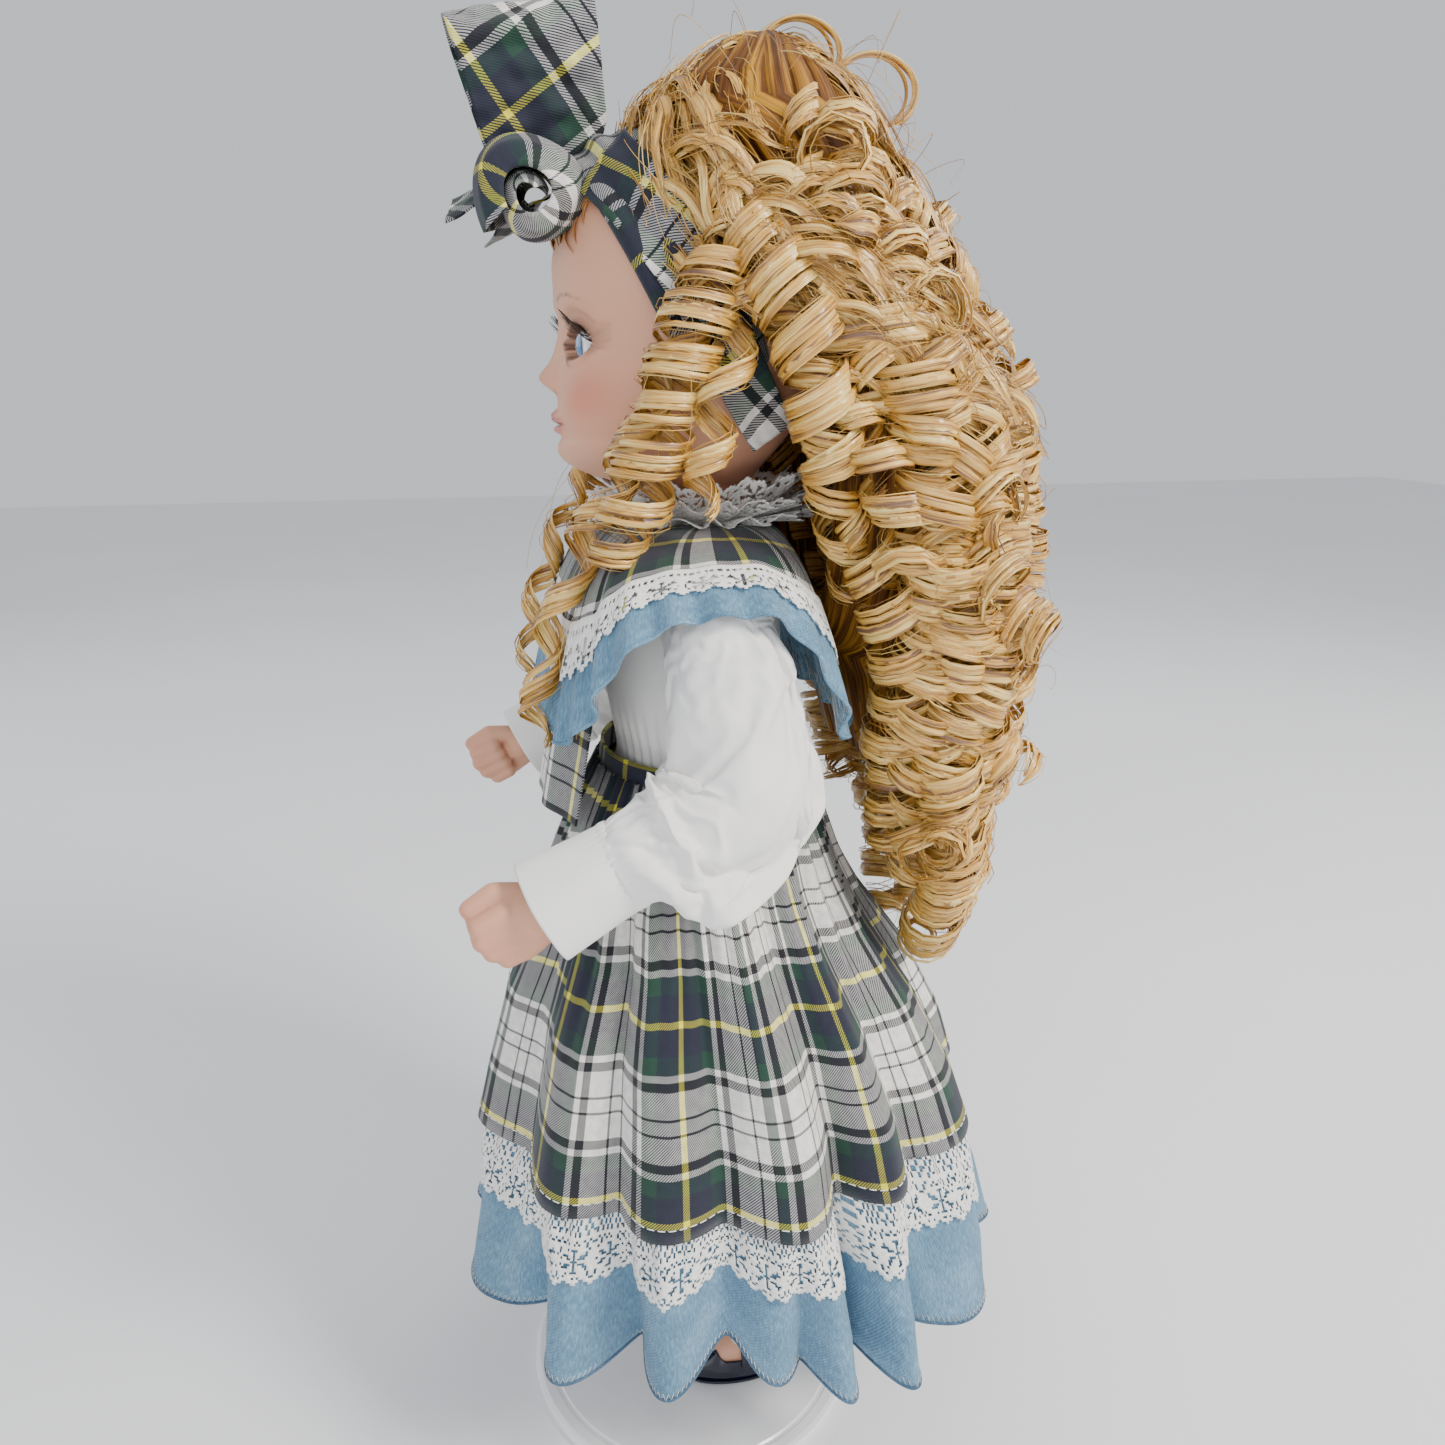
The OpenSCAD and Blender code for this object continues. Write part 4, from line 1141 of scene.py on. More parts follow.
def arm_padding(side):
    """The stuffed upper arm inside the sleeve."""
    name = "left" if side > 0 else "right"
    path = spline([SHOULDER + [-2, 0, 5], SHOULDER + [2, 0, -4], (SHOULDER + ELBOW) / 2, ELBOW + [0, 0, 3],
                   ELBOW + FORE * 8], 60)
    t = np.linspace(0, 1, 60)
    r = 10.0 * np.sqrt(np.clip(np.sin(math.pi * np.clip(t, 0.02, 0.98)), 0.05, 1)) ** 0.7
    heap = Heap()
    heap.limb(path, r, 40, side)
    arm = heap.piece(f"{name}_arm_padding")
    if side < 0:
        arm.data.flip_normals()
    wear(arm, "calico", f"{name}_upper_arm", [f"{name}_upper_arm"])


def make_arms():
    for side in (1, -1):
        arm_padding(side)
        make_hand(side)
        make_sleeve(side)
        make_cuff(side)


# ---- stuffed body and legs -----------------------------------------------------------------------
def make_body():
    angle = ring_angles(240)
    table = [[297, 3, 18, 9], [294, 3, 26, 13], [285, 2, 27.5, 19], [262, 2, 28.5, 21.5],
             [240, 4, 24.5, 19.5], [215, 8.5, 32, 24], [203, 11, 29, 21], [198, 13, 20, 14]]
    points = loft(table, angle)
    seam = -1.0 * np.exp(-(np.sin(angle) / 0.05) ** 2)[:, None]
    lumps = np.array([noise.noise(Vector(p / 16)) for p in points.reshape(-1, 3)]).reshape(points.shape[:2])
    points = points + -grid_normals(points, True) * (seam + 0.9 * lumps)[..., None]
    across, along = cloth_uvs(points, True)
    body = grid_piece("body_stuffed", points, across, along, flip=True)
    fill_holes(body)
    wear(body, "calico", "figure", ["body_cloth"])


def make_legs():
    for side, name in ((1, "left"), (-1, "right")):
        heap = Heap()
        path = spline([[19, 19, 205], [19, 19, 190], [19, 18.5, 150], [19, 18, 116], [19, 18, 112.5]], 60)
        t = np.linspace(0, 1, 60)
        r = np.interp(t, [0, 0.03, 0.12, 0.5, 0.9, 0.97, 1], [3, 8, 13, 12.6, 11.4, 11.0, 10.2])
        heap.limb(path, r, 40, side)
        thigh = heap.piece(f"{name}_thigh_stuffed")
        if side < 0:
            thigh.data.flip_normals()
        wear(thigh, "calico", f"{name}_leg", [f"{name}_thigh"])

        path = np.stack([np.full(48, 19.0), np.full(48, 18.0), np.linspace(60, 19, 48)], 1)
        r = np.interp(path[:, 2], [14, 28, 50, 80], [7.3, 7.5, 9.8, 12.3]) + 0.25
        a = ring_angles(60)
        rib = 0.12 * np.cos(30 * a)[:, None]
        ring = r[None, :] + rib + 0.9 * np.exp(-((path[:, 2] - 58) / 1.6) ** 2)[None, :]
        points = path[None] + np.stack([ring * np.cos(a)[:, None], ring * np.sin(a)[:, None], ring * 0], -1)
        points = mirrored(points, side)
        sock = ring_cloth(f"{name}_sock_cotton", points, 0.5, side > 0, -1.0)
        wear(sock, "cotton", f"{name}_leg", [f"{name}_sock"])
        make_shoe(side, name)


def make_shoe(side, name):
    """A navy vinyl shoe with a rounded toe, an open instep, a strap and a sole."""
    rows, columns = 22, 72
    u = ring_angles(columns)
    outline_y = np.where(np.sin(u) < 0, 20.5, 16.0) * np.sin(u)
    outline_x = (7.4 + 0.6 * np.cos(u - 0.4)) * np.sign(np.cos(u)) * np.abs(np.cos(u)) ** 0.8
    t = np.linspace(0, 1, rows)
    top = np.interp(outline_y, [-20.5, -14, -9, 4, 16], [9.5, 10.5, 7.5, 7.5, 11.5])
    swell = np.interp(t, [0, 0.15, 0.5, 1], [0.93, 1.03, 1.04, 0.93])
    toe = np.clip((-outline_y - 7) / 13.5, 0, 1)
    inwards = 1 - toe[:, None] * np.clip(t - 0.45, 0, 1)[None, :] ** 2 * 2.2
    x = outline_x[:, None] * swell[None, :] * inwards
    y = outline_y[:, None] * swell[None, :] * (1 - (1 - inwards) * 0.75)
    z = 6.2 + top[:, None] * t[None, :] ** 0.9
    points = np.stack([19 + x, 14.5 + y, z], -1)
    points = mirrored(points, side)
    across, along = cloth_uvs(points, True)
    upper = grid_piece(f"{name}_shoe_upper", points, across, along, flip=side < 0)
    add_modifier(upper, "SUBSURF", levels=1)
    apply_all(upper)
    thicken(upper, 0.8, -1.0)
    wear(upper, "shoe", f"{name}_leg", [f"{name}_shoe"])

    bpy.ops.mesh.primitive_cylinder_add(vertices=64, radius=1, depth=1)
    sole = bpy.context.object
    sole.name = f"{name}_shoe_sole"
    for v in sole.data.vertices:
        a = math.atan2(v.co.y, v.co.x)
        reach = 21.0 if v.co.y < 0 else 16.6
        v.co = Vector(((19 + 8.3 * math.cos(a)) * side * MM, (14.5 + reach * math.sin(a)) * MM,
                       (5.9 if v.co.z > 0 else 4.8) * MM))
    if side < 0:
        sole.data.flip_normals()
    add_modifier(sole, "BEVEL", width=0.3 * MM, segments=2)
    apply_all(sole)
    wear(sole, "shoe", f"{name}_leg")

    a = np.linspace(-0.15, math.pi + 0.15, 40)
    path = np.stack([19 + 8.4 * np.cos(a), np.full(40, 15.0), 12.5 + 8.0 * np.clip(np.sin(a), -0.1, 1)], 1)
    heap = Heap()
    wide = np.tile([0.0, 1, 0], (40, 1))
    thin = np.cross(tangents(path), wide)
    heap.add(mirrored(path, side), mirrored(wide, side), mirrored(thin, side), 1.9, 0.45, 12)
    strap = heap.piece(f"{name}_shoe_strap_band")
    if side < 0:
        strap.data.flip_normals()
    wear(strap, "shoe", f"{name}_leg", [f"{name}_shoe_strap"])


# ---- head ----------------------------------------------------------------------------------------
EYE = np.array([15.5, -22.5, 363.0])
FRONT = np.array([[309, -8], [319, -8.5], [324, -13], [327, -24], [330, -31], [333, -34.6], [336.5, -35.6],
                  [339.5, -34.7], [343, -35.6], [349, -35.2], [356, -34.6], [367, -34.0], [376, -35.4],
                  [385, -35.6], [393, -33.5], [400, -29.5], [407, -22.5], [413, -13.5], [417, -4], [418, 3]])
BACK = np.array([[309, 17], [322, 17.5], [328, 21], [334, 26], [344, 33], [353, 37.5], [366, 41], [380, 42],
                 [393, 40], [402, 35], [410, 26], [415, 16], [417.5, 7], [418, 4]])
HALF = np.array([[309, 12.2], [319, 12.6], [324, 14], [328, 19], [332, 24], [337, 29], [344, 33], [353, 35.6],
                 [364, 36.4], [380, 36.2], [393, 33.5], [402, 28.5], [410, 20], [415, 12], [417.5, 5],
                 [418, 1]])


def bump_at(x, z, cx, cz, rx, rz, power=1.0):
    return np.exp(-(((x - cx) / rx) ** 2 + ((z - cz) / rz) ** 2) ** power)


def eye_opening(x, z):
    """Below 0 inside the almond between the lids, above 0 outside; about millimetres."""
    u = (np.abs(x) - 15.6) / 7.0
    slant = z - 363.2 - 0.5 * u
    top = 4.6 * np.clip(1 - u ** 2, 0, 1) ** 0.75
    low = 3.3 * np.clip(1 - u ** 2, 0, 1) ** 0.8
    inside = np.where(slant > 0, slant - top, -slant - low)
    return np.where(np.abs(u) >= 1, np.maximum(inside, (np.abs(u) - 1) * 7), inside)


def make_head():
    rows = 250
    z = np.interp(np.linspace(0, 1, rows), [0, 0.1, 0.72, 0.9, 1], [309.5, 326, 380, 410, 418])
    front = spline(FRONT, 400)
    back = spline(BACK, 400)
    half = spline(HALF, 400)
    yf, yb = np.interp(z, front[:, 0], front[:, 1]), np.interp(z, back[:, 0], back[:, 1])
    hw = np.interp(z, half[:, 0], half[:, 1])
    share = np.linspace(0, 1, 205)[:-1]
    turn = math.pi * np.interp(share, [0, 0.4, 0.6, 1], [-0.47, 0.47, 1.0, 1.53])
    power = np.interp(z, [309, 326, 340, 395, 418], [2.0, 2.1, 2.35, 2.3, 2.0])[None, :]
    c, s = np.sin(turn)[:, None], -np.cos(turn)[:, None]
    x = hw[None, :] * np.sign(c) * np.abs(c) ** (2 / power)
    middle = (yf + yb)[None, :] / 2 + np.interp(z, [309, 326, 345], [0, 2, 2])[None, :]
    depth = np.where(s < 0, middle - yf[None, :], yb[None, :] - middle)
    y = middle + depth * np.sign(s) * np.abs(s) ** (2 / power)
    zz = np.repeat(z[None, :], len(turn), 0)
    face = np.clip((-s - 0.15) / 0.3, 0, 1)
    ax = np.abs(x)

    out = 3.3 * bump_at(x, zz, 0, 355.2, 4.3, 4.6) + 2.1 * bump_at(x, zz, 0, 354.4, 2.7, 2.8)
    out = out + 1.9 * bump_at(x, zz, 0, 361.5, 2.6, 7.0) + 1.5 * bump_at(ax, zz, 4.0, 352.8, 2.2, 2.0)
    out = out - 1.5 * bump_at(ax, zz, 2.3, 350.9, 1.1, 0.9)
    out = out + 1.5 * bump_at(ax, zz, 18, 350, 10, 9) + 0.9 * bump_at(x, zz, 0, 334.2, 6.5, 4.2)
    out = out - 1.6 * bump_at(ax, zz, 14.5, 366, 9, 6) + 1.1 * bump_at(ax, zz, 13, 373, 10, 3.6)
    out = out - 0.8 * bump_at(x, zz, 0, 338.8, 6, 1.5) - 0.5 * bump_at(x, zz, 0, 348.5, 1.3, 2.6)
    upper = 343.9 + 0.9 * np.exp(-((ax - 2.4) / 2.2) ** 2) - 0.5 * np.exp(-(x / 1.0) ** 2)
    mouth = np.clip(1 - (ax / 7.9) ** 2, 0, 1)
    line = 342.2 + 0.35 * (ax / 7.9) ** 2 - 0.25 * np.exp(-(x / 1.3) ** 2)
    out = out + 2.2 * mouth ** 0.7 * np.exp(-((zz - upper) / 1.5) ** 2)
    out = out + 2.4 * mouth ** 0.8 * np.exp(-((zz - 340.5) / 1.5) ** 2)
    out = out - 1.5 * mouth ** 0.5 * np.exp(-((zz - line) / 0.5) ** 2)
    out = out - 0.6 * bump_at(ax, zz, 8.3, 342.2, 1.3, 1.3)
    gap = eye_opening(x, zz)
    lid = np.exp(-((gap - 1.0) / 1.1) ** 2)
    out = out + 1.25 * lid * np.where(zz > 363, 1.1, 0.7)
    out = out - 0.8 * np.exp(-((gap - 3.8) / 0.8) ** 2) * (zz > 364)
    inside = 1 / (1 + np.exp((gap + 0.15) / 0.16))
    out = out - 6.5 * inside
    y = y - out * face
    ears = bump_at(y, zz, 4, 360, 4.2, 8.5, 1.3) * (np.abs(c) > 0.8)
    x = x + np.sign(x) * 3.0 * ears * (1 - 0.6 * bump_at(y, zz, 3.2, 361, 2.2, 5.2, 1.3))
    points = np.stack([x, y, zz], -1)
    across, along = cloth_uvs(points, True)
    head = grid_piece("head_bisque", points, across, along)
    fill_holes(head, 0.4)
    head.data.shade_smooth()

    # Paint, worked out at every point: cheeks, lips, brows and the shadow of the lids.
    blush = 0.95 * bump_at(ax, zz, 21, 350.5, 9.5, 7.5) + 0.25 * bump_at(x, zz, 0, 333, 6, 4)
    blush = blush + 0.3 * bump_at(x, zz, 0, 353, 3, 3) + 0.25 * bump_at(ax, zz, 2.3, 350.9, 1.2, 1.0)
    lip_top = upper + 1.5 - 0.5 * np.exp(-(x / 0.9) ** 2) - 1.5 * (ax / 7.9) ** 2
    lip_low = 338.4 + 3.4 * (ax / 7.9) ** 2
    lips = (1 / (1 + np.exp(-(lip_top - zz) / 0.25))) * (1 / (1 + np.exp(-(zz - lip_low) / 0.25)))
    lips = lips * (1 / (1 + np.exp((ax - 7.3) / 0.35)))
    arch = 373.6 + 2.6 * (1 - ((ax - 15) / 9.5) ** 2) - 0.08 * (ax - 8)
    strokes = 0.6 + 0.4 * np.sin(ax * 5.2 + zz * 2.6 + 1.5 * np.sin(ax * 1.7))
    brow = np.exp(-((zz - arch) / (0.95 - 0.03 * ax)) ** 2) * strokes
    brow = brow * np.clip((ax - 5.8) / 2, 0, 1) * np.clip((25.5 - ax) / 7, 0, 1)
    shadow = np.exp(-(np.clip(gap, 0, 9) / 3.0) ** 2) * (zz > 362) * 0.62
    liner = np.exp(-((gap - 0.3) / 0.45) ** 2) * np.where(zz > 363, 1.0, 0.45)
    lash_paint = np.exp(-((gap - 1.2) / 1.3) ** 2) * (zz < 362) * (0.5 + 0.5 * np.cos(ax * 5.5)) ** 3 * 0.8
    brown = np.clip(brow * 0.85 + shadow + liner + lash_paint, 0, 1) * face
    marks = np.stack([np.clip(blush, 0, 1) * face, lips * face, brown], -1).reshape(-1, 3)
    extra = len(head.data.vertices) - len(marks)
    marks = np.vstack([marks, np.zeros((extra, 3))])
    paint_layer(head, marks, np.zeros(len(marks)))
    wear(head, "bisque", "head", ["head_shell"])
    for side in (1, -1):
        make_eye(side)
        make_lashes(side)


def make_eye(side):
    """A glass eye: the white with the iris and pupil painted by angle, under a clear domed cornea."""
    name = "left" if side > 0 else "right"
    centre = EYE * [side, 1, 1]
    bpy.ops.mesh.primitive_uv_sphere_add(segments=96, ring_count=64, radius=8.5 * MM,
                                         location=tuple(centre * MM))
    ball = bpy.context.object
    ball.name = f"{name}_glass_eye"
    bpy.ops.object.transform_apply(location=True, rotation=True, scale=True)
    co = points_of(ball.data) / MM
    gaze = unit(np.array([0.03 * side, -1, -0.02]))
    way = (co - centre) / 8.5
    facing = way @ gaze
    off = np.arccos(np.clip(facing, -1, 1)) * 8.5
    dome = np.where(off < 4.6, 0.55 * (1 - (off / 4.6) ** 2), 0.0)
    co = co + gaze * dome[:, None]
    ball.data.vertices.foreach_set("co", (co * MM).ravel())
    layer = ball.data.attributes.new("gaze", "FLOAT", "POINT")
    layer.data.foreach_set("value", off)
    smooth(ball)
    wear(ball, "eye", "head", [f"{name}_eye"])


def make_lashes(side):
    """Long curved lashes on the upper lid."""
    rng = np.random.default_rng(81 + side)
    heap = Heap()
    for x in np.linspace(9.3, 23.0, 44):
        u = (x - 15.6) / 7.0
        z = 363.2 + 0.5 * u + 4.6 * max(1 - u * u, 0) ** 0.75 + 0.15
        reach = math.sqrt(max(8.7 ** 2 - (x - 15.5) ** 2 - (z - 363) ** 2, 4))
        root = np.array([x, EYE[1] - reach - 0.2, z])
        way = np.array([0.28 * u + rng.normal(0, 0.06), -1, 0.15 + rng.normal(0, 0.05)])
        length = 5.2 + 1.6 * u + rng.normal(0, 0.4)
        t = np.linspace(0, 1, 9)[:, None]
        path = root + way * length * t + np.array([0.35 * u, 0, 1]) * (length * 0.55) * t ** 2
        heap.strand(mirrored(path, side), 0.11 * (1.05 - t.ravel()) + 0.02, 4)
    lashes = heap.piece("left_lashes" if side > 0 else "right_lashes")
    wear(lashes, "lash", "head")


# ---- hair ----------------------------------------------------------------------------------------
# Height, middle in Y, half width and half depth of the whole head of hair, from the back's ends to the crown.
HAIR = np.array([[166, 76, 16, 8], [180, 76, 34, 15], [205, 74, 46, 26], [245, 66, 54, 32], [272, 66, 59, 38],
                 [300, 60, 62, 45], [322, 52, 63, 54], [348, 44, 61, 58], [370, 34, 57, 53],
                 [390, 26, 52, 47], [410, 21, 45, 39], [425, 20, 34, 28], [434, 22, 21, 17],
                 [439, 24, 8, 8]], float)


def hair_section(z):
    """The middle in Y, the half width and the half depth of the hair at each height."""
    return [np.interp(z, HAIR[:, 0], HAIR[:, k]) for k in (1, 2, 3)]


def hair_at(z, turn, grow=0.0):
    """A point on the hair's outside. turn is 0 at the left side and 90 degrees at the back."""
    middle, half_x, half_y = hair_section(z)
    return np.stack([(half_x + grow) * np.cos(turn), middle + (half_y + grow) * np.sin(turn),
                     np.broadcast_to(z, np.shape(turn))], -1)


def curl(heap, axis, radius, pitch, wide, hand=1, start=0.0, seed=0, hairs=6, per_turn=11):
    """A ringlet: narrow locks side by side wound round an axis, with single hairs that stray from them."""
    rng = np.random.default_rng(seed)
    turns = arc_lengths(axis, False)[-1] / pitch
    count = max(20, int(turns * per_turn))
    path = spline(axis, count)
    one, two = carried_frame(path)
    line = tangents(path)
    t = np.linspace(0, 1, count)
    winding = start + hand * TAU * turns * t + 0.6 * np.sin(t * 9 + start)
    swell = radius * np.interp(t, [0, 0.12, 0.85, 1], [0.35, 1, 1, 0.7])
    swell = swell * (1 + 0.1 * np.sin(t * turns * 2.1 + seed) + 0.07 * np.sin(t * turns * 4.7 + 2 * seed))
    ends = np.interp(t, [0, 0.06, 0.9, 1], [0.4, 1, 0.9, 0.12])
    for k in range(hairs + 6):
        band = k < 6
        place = (k - 2.5) * 0.19 + rng.uniform(-0.05, 0.05) if band else rng.uniform(-0.8, 0.8)
        a = winding + rng.uniform(-0.3, 0.3) + 0.15 * np.sin(t * turns * 1.7 + k)
        out = one * np.cos(a)[:, None] + two * np.sin(a)[:, None]
        stray, sway = (0.5, 0.3) if band else (1.3, 0.8)
        own = swell + rng.uniform(-1, 1) * stray + sway * np.sin(t * turns * 3.1 + 2 * k)
        aside = place * wide * ends + 0.7 * np.sin(t * turns * 2.3 + 3 * k)
        coil = path + out * own[:, None] + line * aside[:, None]
        if band:
            flat = unit(np.cross(tangents(coil), out))
            heap.strip(coil, flat, out, wide * rng.uniform(0.1, 0.17) * ends, 0.4, 4, rng)
        else:
            heap.strand(coil, rng.uniform(0.1, 0.2), 3, along0=rng.uniform(0, 400))


def strands_round(heap, path, count, spread, rng, radius=0.09, points=26, frizz=0.6):
    """Loose hairs that go about the same way as a path."""
    for _ in range(count):
        a, b = sorted(rng.uniform(0, 1, 2))
        if b - a < 0.25:
            b = min(1, a + 0.4)
        whole = spline(path, 60)
        part = whole[int(a * 59):int(b * 59) + 1]
        if len(part) < 5:
            continue
        part = spline(part, points)
        t = np.linspace(0, 1, points)
        drift = rng.normal(0, spread, 3) * t[:, None] + rng.normal(0, spread * 0.5, 3)
        wave = np.stack([np.sin(t * rng.uniform(4, 12) + rng.uniform(0, TAU)) for _ in range(3)], 1) * frizz
        heap.strand(part + drift + wave, radius, 3)


def hairline(z):
    """How far round the hair starts at each height, so that it begins right behind the headband."""
    middle, _, half_y = hair_section(z)
    edge = (10.5 - 0.457 * (np.maximum(z, 345) - 370)) / 0.889
    return np.arcsin(np.clip((edge - middle) / half_y, -1, 1))


def hair_top(x, y):
    """The height of the hair's outside above a point of the head."""
    z = np.linspace(360, HAIR[-1, 0], 200)
    middle, half_x, half_y = hair_section(z)
    inside = (x / half_x) ** 2 + ((y - middle) / half_y) ** 2 <= 1
    return z[inside][-1] if inside.any() else 360.0


def make_under_hair():
    """The combed mass below the locks, so that no scalp shows between them. It is coloured darker than the
    locks, as painted shade in the gaps between them.
    """
    columns, rows = 160, 64
    z = np.linspace(245, 437.5, rows)
    turn = np.linspace(0, 1, columns)
    first = hairline(z) + 0.03
    a = first[None, :] + (math.pi - 2 * first)[None, :] * turn[:, None]
    zz = np.repeat(z[None, :], columns, 0)
    points = hair_at(zz, a, np.interp(zz, [245, 300, 400, 437], [-18.0, -14, -9, -3.5]))
    ridge = np.array([noise.noise(Vector((t * 52, h / 60, 3.0))) for t in turn for h in z])
    ridge = ridge.reshape(columns, rows)
    middle = np.array([0, 30, 0])
    away = (points - middle) * [1, 1, 0]
    away /= np.maximum(np.linalg.norm(away, axis=2, keepdims=True), 1e-6)
    points = points + away * (ridge * 3.0)[..., None]
    length = np.repeat(z[None, :], columns, 0)
    across = np.repeat(arc_lengths(points[:, 40], False)[:, None], rows, 1)
    mass = grid_piece("hair_under", points, across, length, wrap=False, flip=True)
    thicken(mass, 3.0, -1.0)
    wear(mass, "hair_under_painted_shade", None, ["hair_back", "wig_cap"])
    upper_or_blend(mass, 200)


def upper_or_blend(piece, low):
    """Hair wholly above the split rides the head; hair that hangs below it has its placing baked into its
    points and rides no body.
    """
    if low > 322:
        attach(piece, "head")
    else:
        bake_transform(piece)


def make_crown():
    """Wavy locks combed back from the headband over the crown."""
    rng = np.random.default_rng(91)
    heaps, loose = (Heap(), Heap(), Heap()), Heap()
    for k in range(215):
        side = 1 if k % 2 == 0 else -1
        z0 = np.interp(rng.uniform(0, 1), [0, 0.6, 1], [350, 418, 437])
        start = float(hairline(z0)) + rng.uniform(-0.02, 0.5) * rng.uniform(0, 1)
        end = start + rng.uniform(0.5, 1.4)
        z1 = z0 - rng.uniform(14, 62) * np.interp(z0, [350, 437], [0.5, 1])
        t = np.linspace(0, 1, 14)
        lift = rng.uniform(-5.0, 1.5)
        turn = start + (end - start) * t ** 0.9 + 0.05 * np.sin(t * 11 + k)
        z = z0 + (z1 - z0) * t ** 1.5 + 2.6 * np.sin(t * 12 + k)
        grow = lift + 2.4 * np.sin(t * rng.uniform(7, 13) + k)
        path = spline(np.array([hair_at(*p) for p in zip(z, turn, grow)]) * [side, 1, 1], 30)
        if k >= 150:
            x, y = rng.uniform(-28, 28), rng.uniform(8, 36) + t * rng.uniform(28, 52)
            x = x + 3 * np.sin(t * 9 + k)
            path = spline(np.array([[i, j, hair_top(i, j) + g] for i, j, g in zip(x, y, grow - 1)]), 30)
        wide = unit(np.cross(tangents(path), unit(path - [0, 22, 375])))
        thin = np.cross(wide, tangents(path))
        q = np.linspace(0, 1, 30)
        shape = np.interp(q, [0, 0.12, 0.8, 1], [0.5, 1, 0.85, 0.2])
        heaps[k % 3].strip(path, wide, thin, rng.uniform(1.0, 2.4) * shape, 0.6, 5, rng)
        for j in range(5):
            aside = rng.uniform(-5, 5) * shape + 1.2 * np.sin(q * 9 + 2 * j + k)
            own = path + wide * aside[:, None] + thin * (0.8 + 1.2 * np.sin(q * 8 + 3 * j + k))[:, None]
            heaps[k % 3].strand(own, rng.uniform(0.1, 0.2), 3, along0=rng.uniform(0, 400))
        if k % 2 == 0:
            strands_round(loose, path, 3, 2.6, rng, points=20)
    for part, heap in enumerate(heaps):
        wear(heap.piece(f"hair_crown_locks_{part}"), "hair", "head",
             ["hair_crown"] if part == 0 else ())
    for k in range(26):
        z = rng.uniform(395, 432)
        turn = rng.uniform(-0.5, math.pi + 0.5)
        p = hair_at(z, turn, 1.0)
        away = unit(p - [0, 25, 370])
        side_way = unit(np.cross(away, [0.3, 0.2, 1.0]))
        reach = rng.uniform(8, 20)
        path = np.array([p, p + away * reach * 0.6 + side_way * 3, p + away * reach + side_way * reach * 0.8,
                         p + away * reach * 0.4 + side_way * reach * 1.1])
        loose.strand(spline(path, 20), 0.09, 3)
    stray = loose.piece("hair_crown_strays")
    wear(stray, "hair", "head")


def make_ringlets():
    """Ringlets in rows round the sides and back, from the crown down to their ends behind the skirt."""
    rng = np.random.default_rng(101)
    made = []
    levels = ((420, 366, 9, 0), (402, 336, 12, -1), (378, 300, 13, -2), (350, 262, 13, -2),
              (322, 226, 12, -3), (298, 196, 10, -3), (262, 174, 8, -3))
    for level, (z_top, z_low, how_many, lift) in enumerate(levels):
        for k in range(how_many):
            share = (k + 0.5 * (level % 2) + rng.uniform(-0.25, 0.25)) / how_many
            first = float(hairline(z_top)) + 0.12 if level < 3 else -0.45 if level < 6 else 0.0
            turn0 = first + (math.pi - 2 * first) * share
            end_z = z_low + rng.uniform(-12, 16)
            t = np.linspace(0, 1, 9)
            z = z_top + (end_z - z_top) * t
            drift = 0.12 * np.sin(3.5 * t + k) + rng.uniform(-0.3, 0.3) * t
            grow = lift - 4.5 + 3.0 * np.sin(rng.uniform(3, 7) * t + k) + rng.uniform(-2.5, 2.5)
            path = np.array([hair_at(zi, turn0 + d, g) for zi, d, g in zip(z, drift, grow)])
            path[:, 2] = z
            made.append((path, end_z))
    for side in (1, -1):
        for points, low in (([[42, 4, 384], [43, -8, 362], [38, -22, 334], [33, -36, 306], [31, -45, 282],
                              [32, -48, 258]], 250),
                            ([[44, 6, 392], [46, -4, 370], [46, -12, 348], [43, -20, 326],
                              [39, -27, 306]], 300),
                            ([[46, 12, 386], [50, 4, 362], [51, -2, 340], [49, -4, 322]], 316)):
            made.append((np.array(points, float) * [side, 1, 1], low))
    for k in range(36):
        z = rng.uniform(215, 410)
        first = float(hairline(z)) + 0.25 if z > 345 else -0.35
        share = rng.uniform(0, 1) if k % 2 else 0.5 - 0.5 * rng.choice([-1, 1]) * rng.uniform(0.5, 1)
        turn = first + (math.pi - 2 * first) * share
        p = hair_at(z, turn, 0)
        away = unit(p - [0, 40, z])
        lean = np.array([rng.normal(0, 3), rng.normal(0, 3), rng.uniform(-7, 1)])
        made.append((np.array([p - away * 7 + [0, 0, 6], p - away * 1, p + away * 4 + lean]), z - 5))
    batches = {}
    strays = Heap()
    for n, (path, low) in enumerate(made):
        key = ("high" if low > 322 else "low", n % 4)
        heap = batches.setdefault(key, Heap())
        short = len(path) == 3
        loose_wave = not short and (path[0, 2] > 415 or (len(path) < 7 and n % 3 != 0))
        curl(heap, path, rng.uniform(3, 5) if loose_wave else rng.uniform(6.5, 10),
             rng.uniform(8, 11) if short else rng.uniform(18, 24) if loose_wave else rng.uniform(12, 17),
             rng.uniform(4.5, 6.5) if short else rng.uniform(6, 9),
             1 if rng.uniform() > 0.5 else -1, rng.uniform(0, TAU), seed=n)
        strands_round(strays, path, 3, 4.5, rng, 0.08, 20, 2.2)
    for (height, part), heap in batches.items():
        piece = heap.piece(f"hair_ringlets_{height}_{part}")
        replaced = {("low", 0): ["hair_front_left", "hair_front_right"], ("high", 0): ["side_curls"]}
        wear(piece, "hair", None, replaced.get((height, part), ()))
        upper_or_blend(piece, 400 if height == "high" else 200)
    loose = strays.piece("hair_ringlet_strays")
    wear(loose, "hair")
    upper_or_blend(loose, 200)


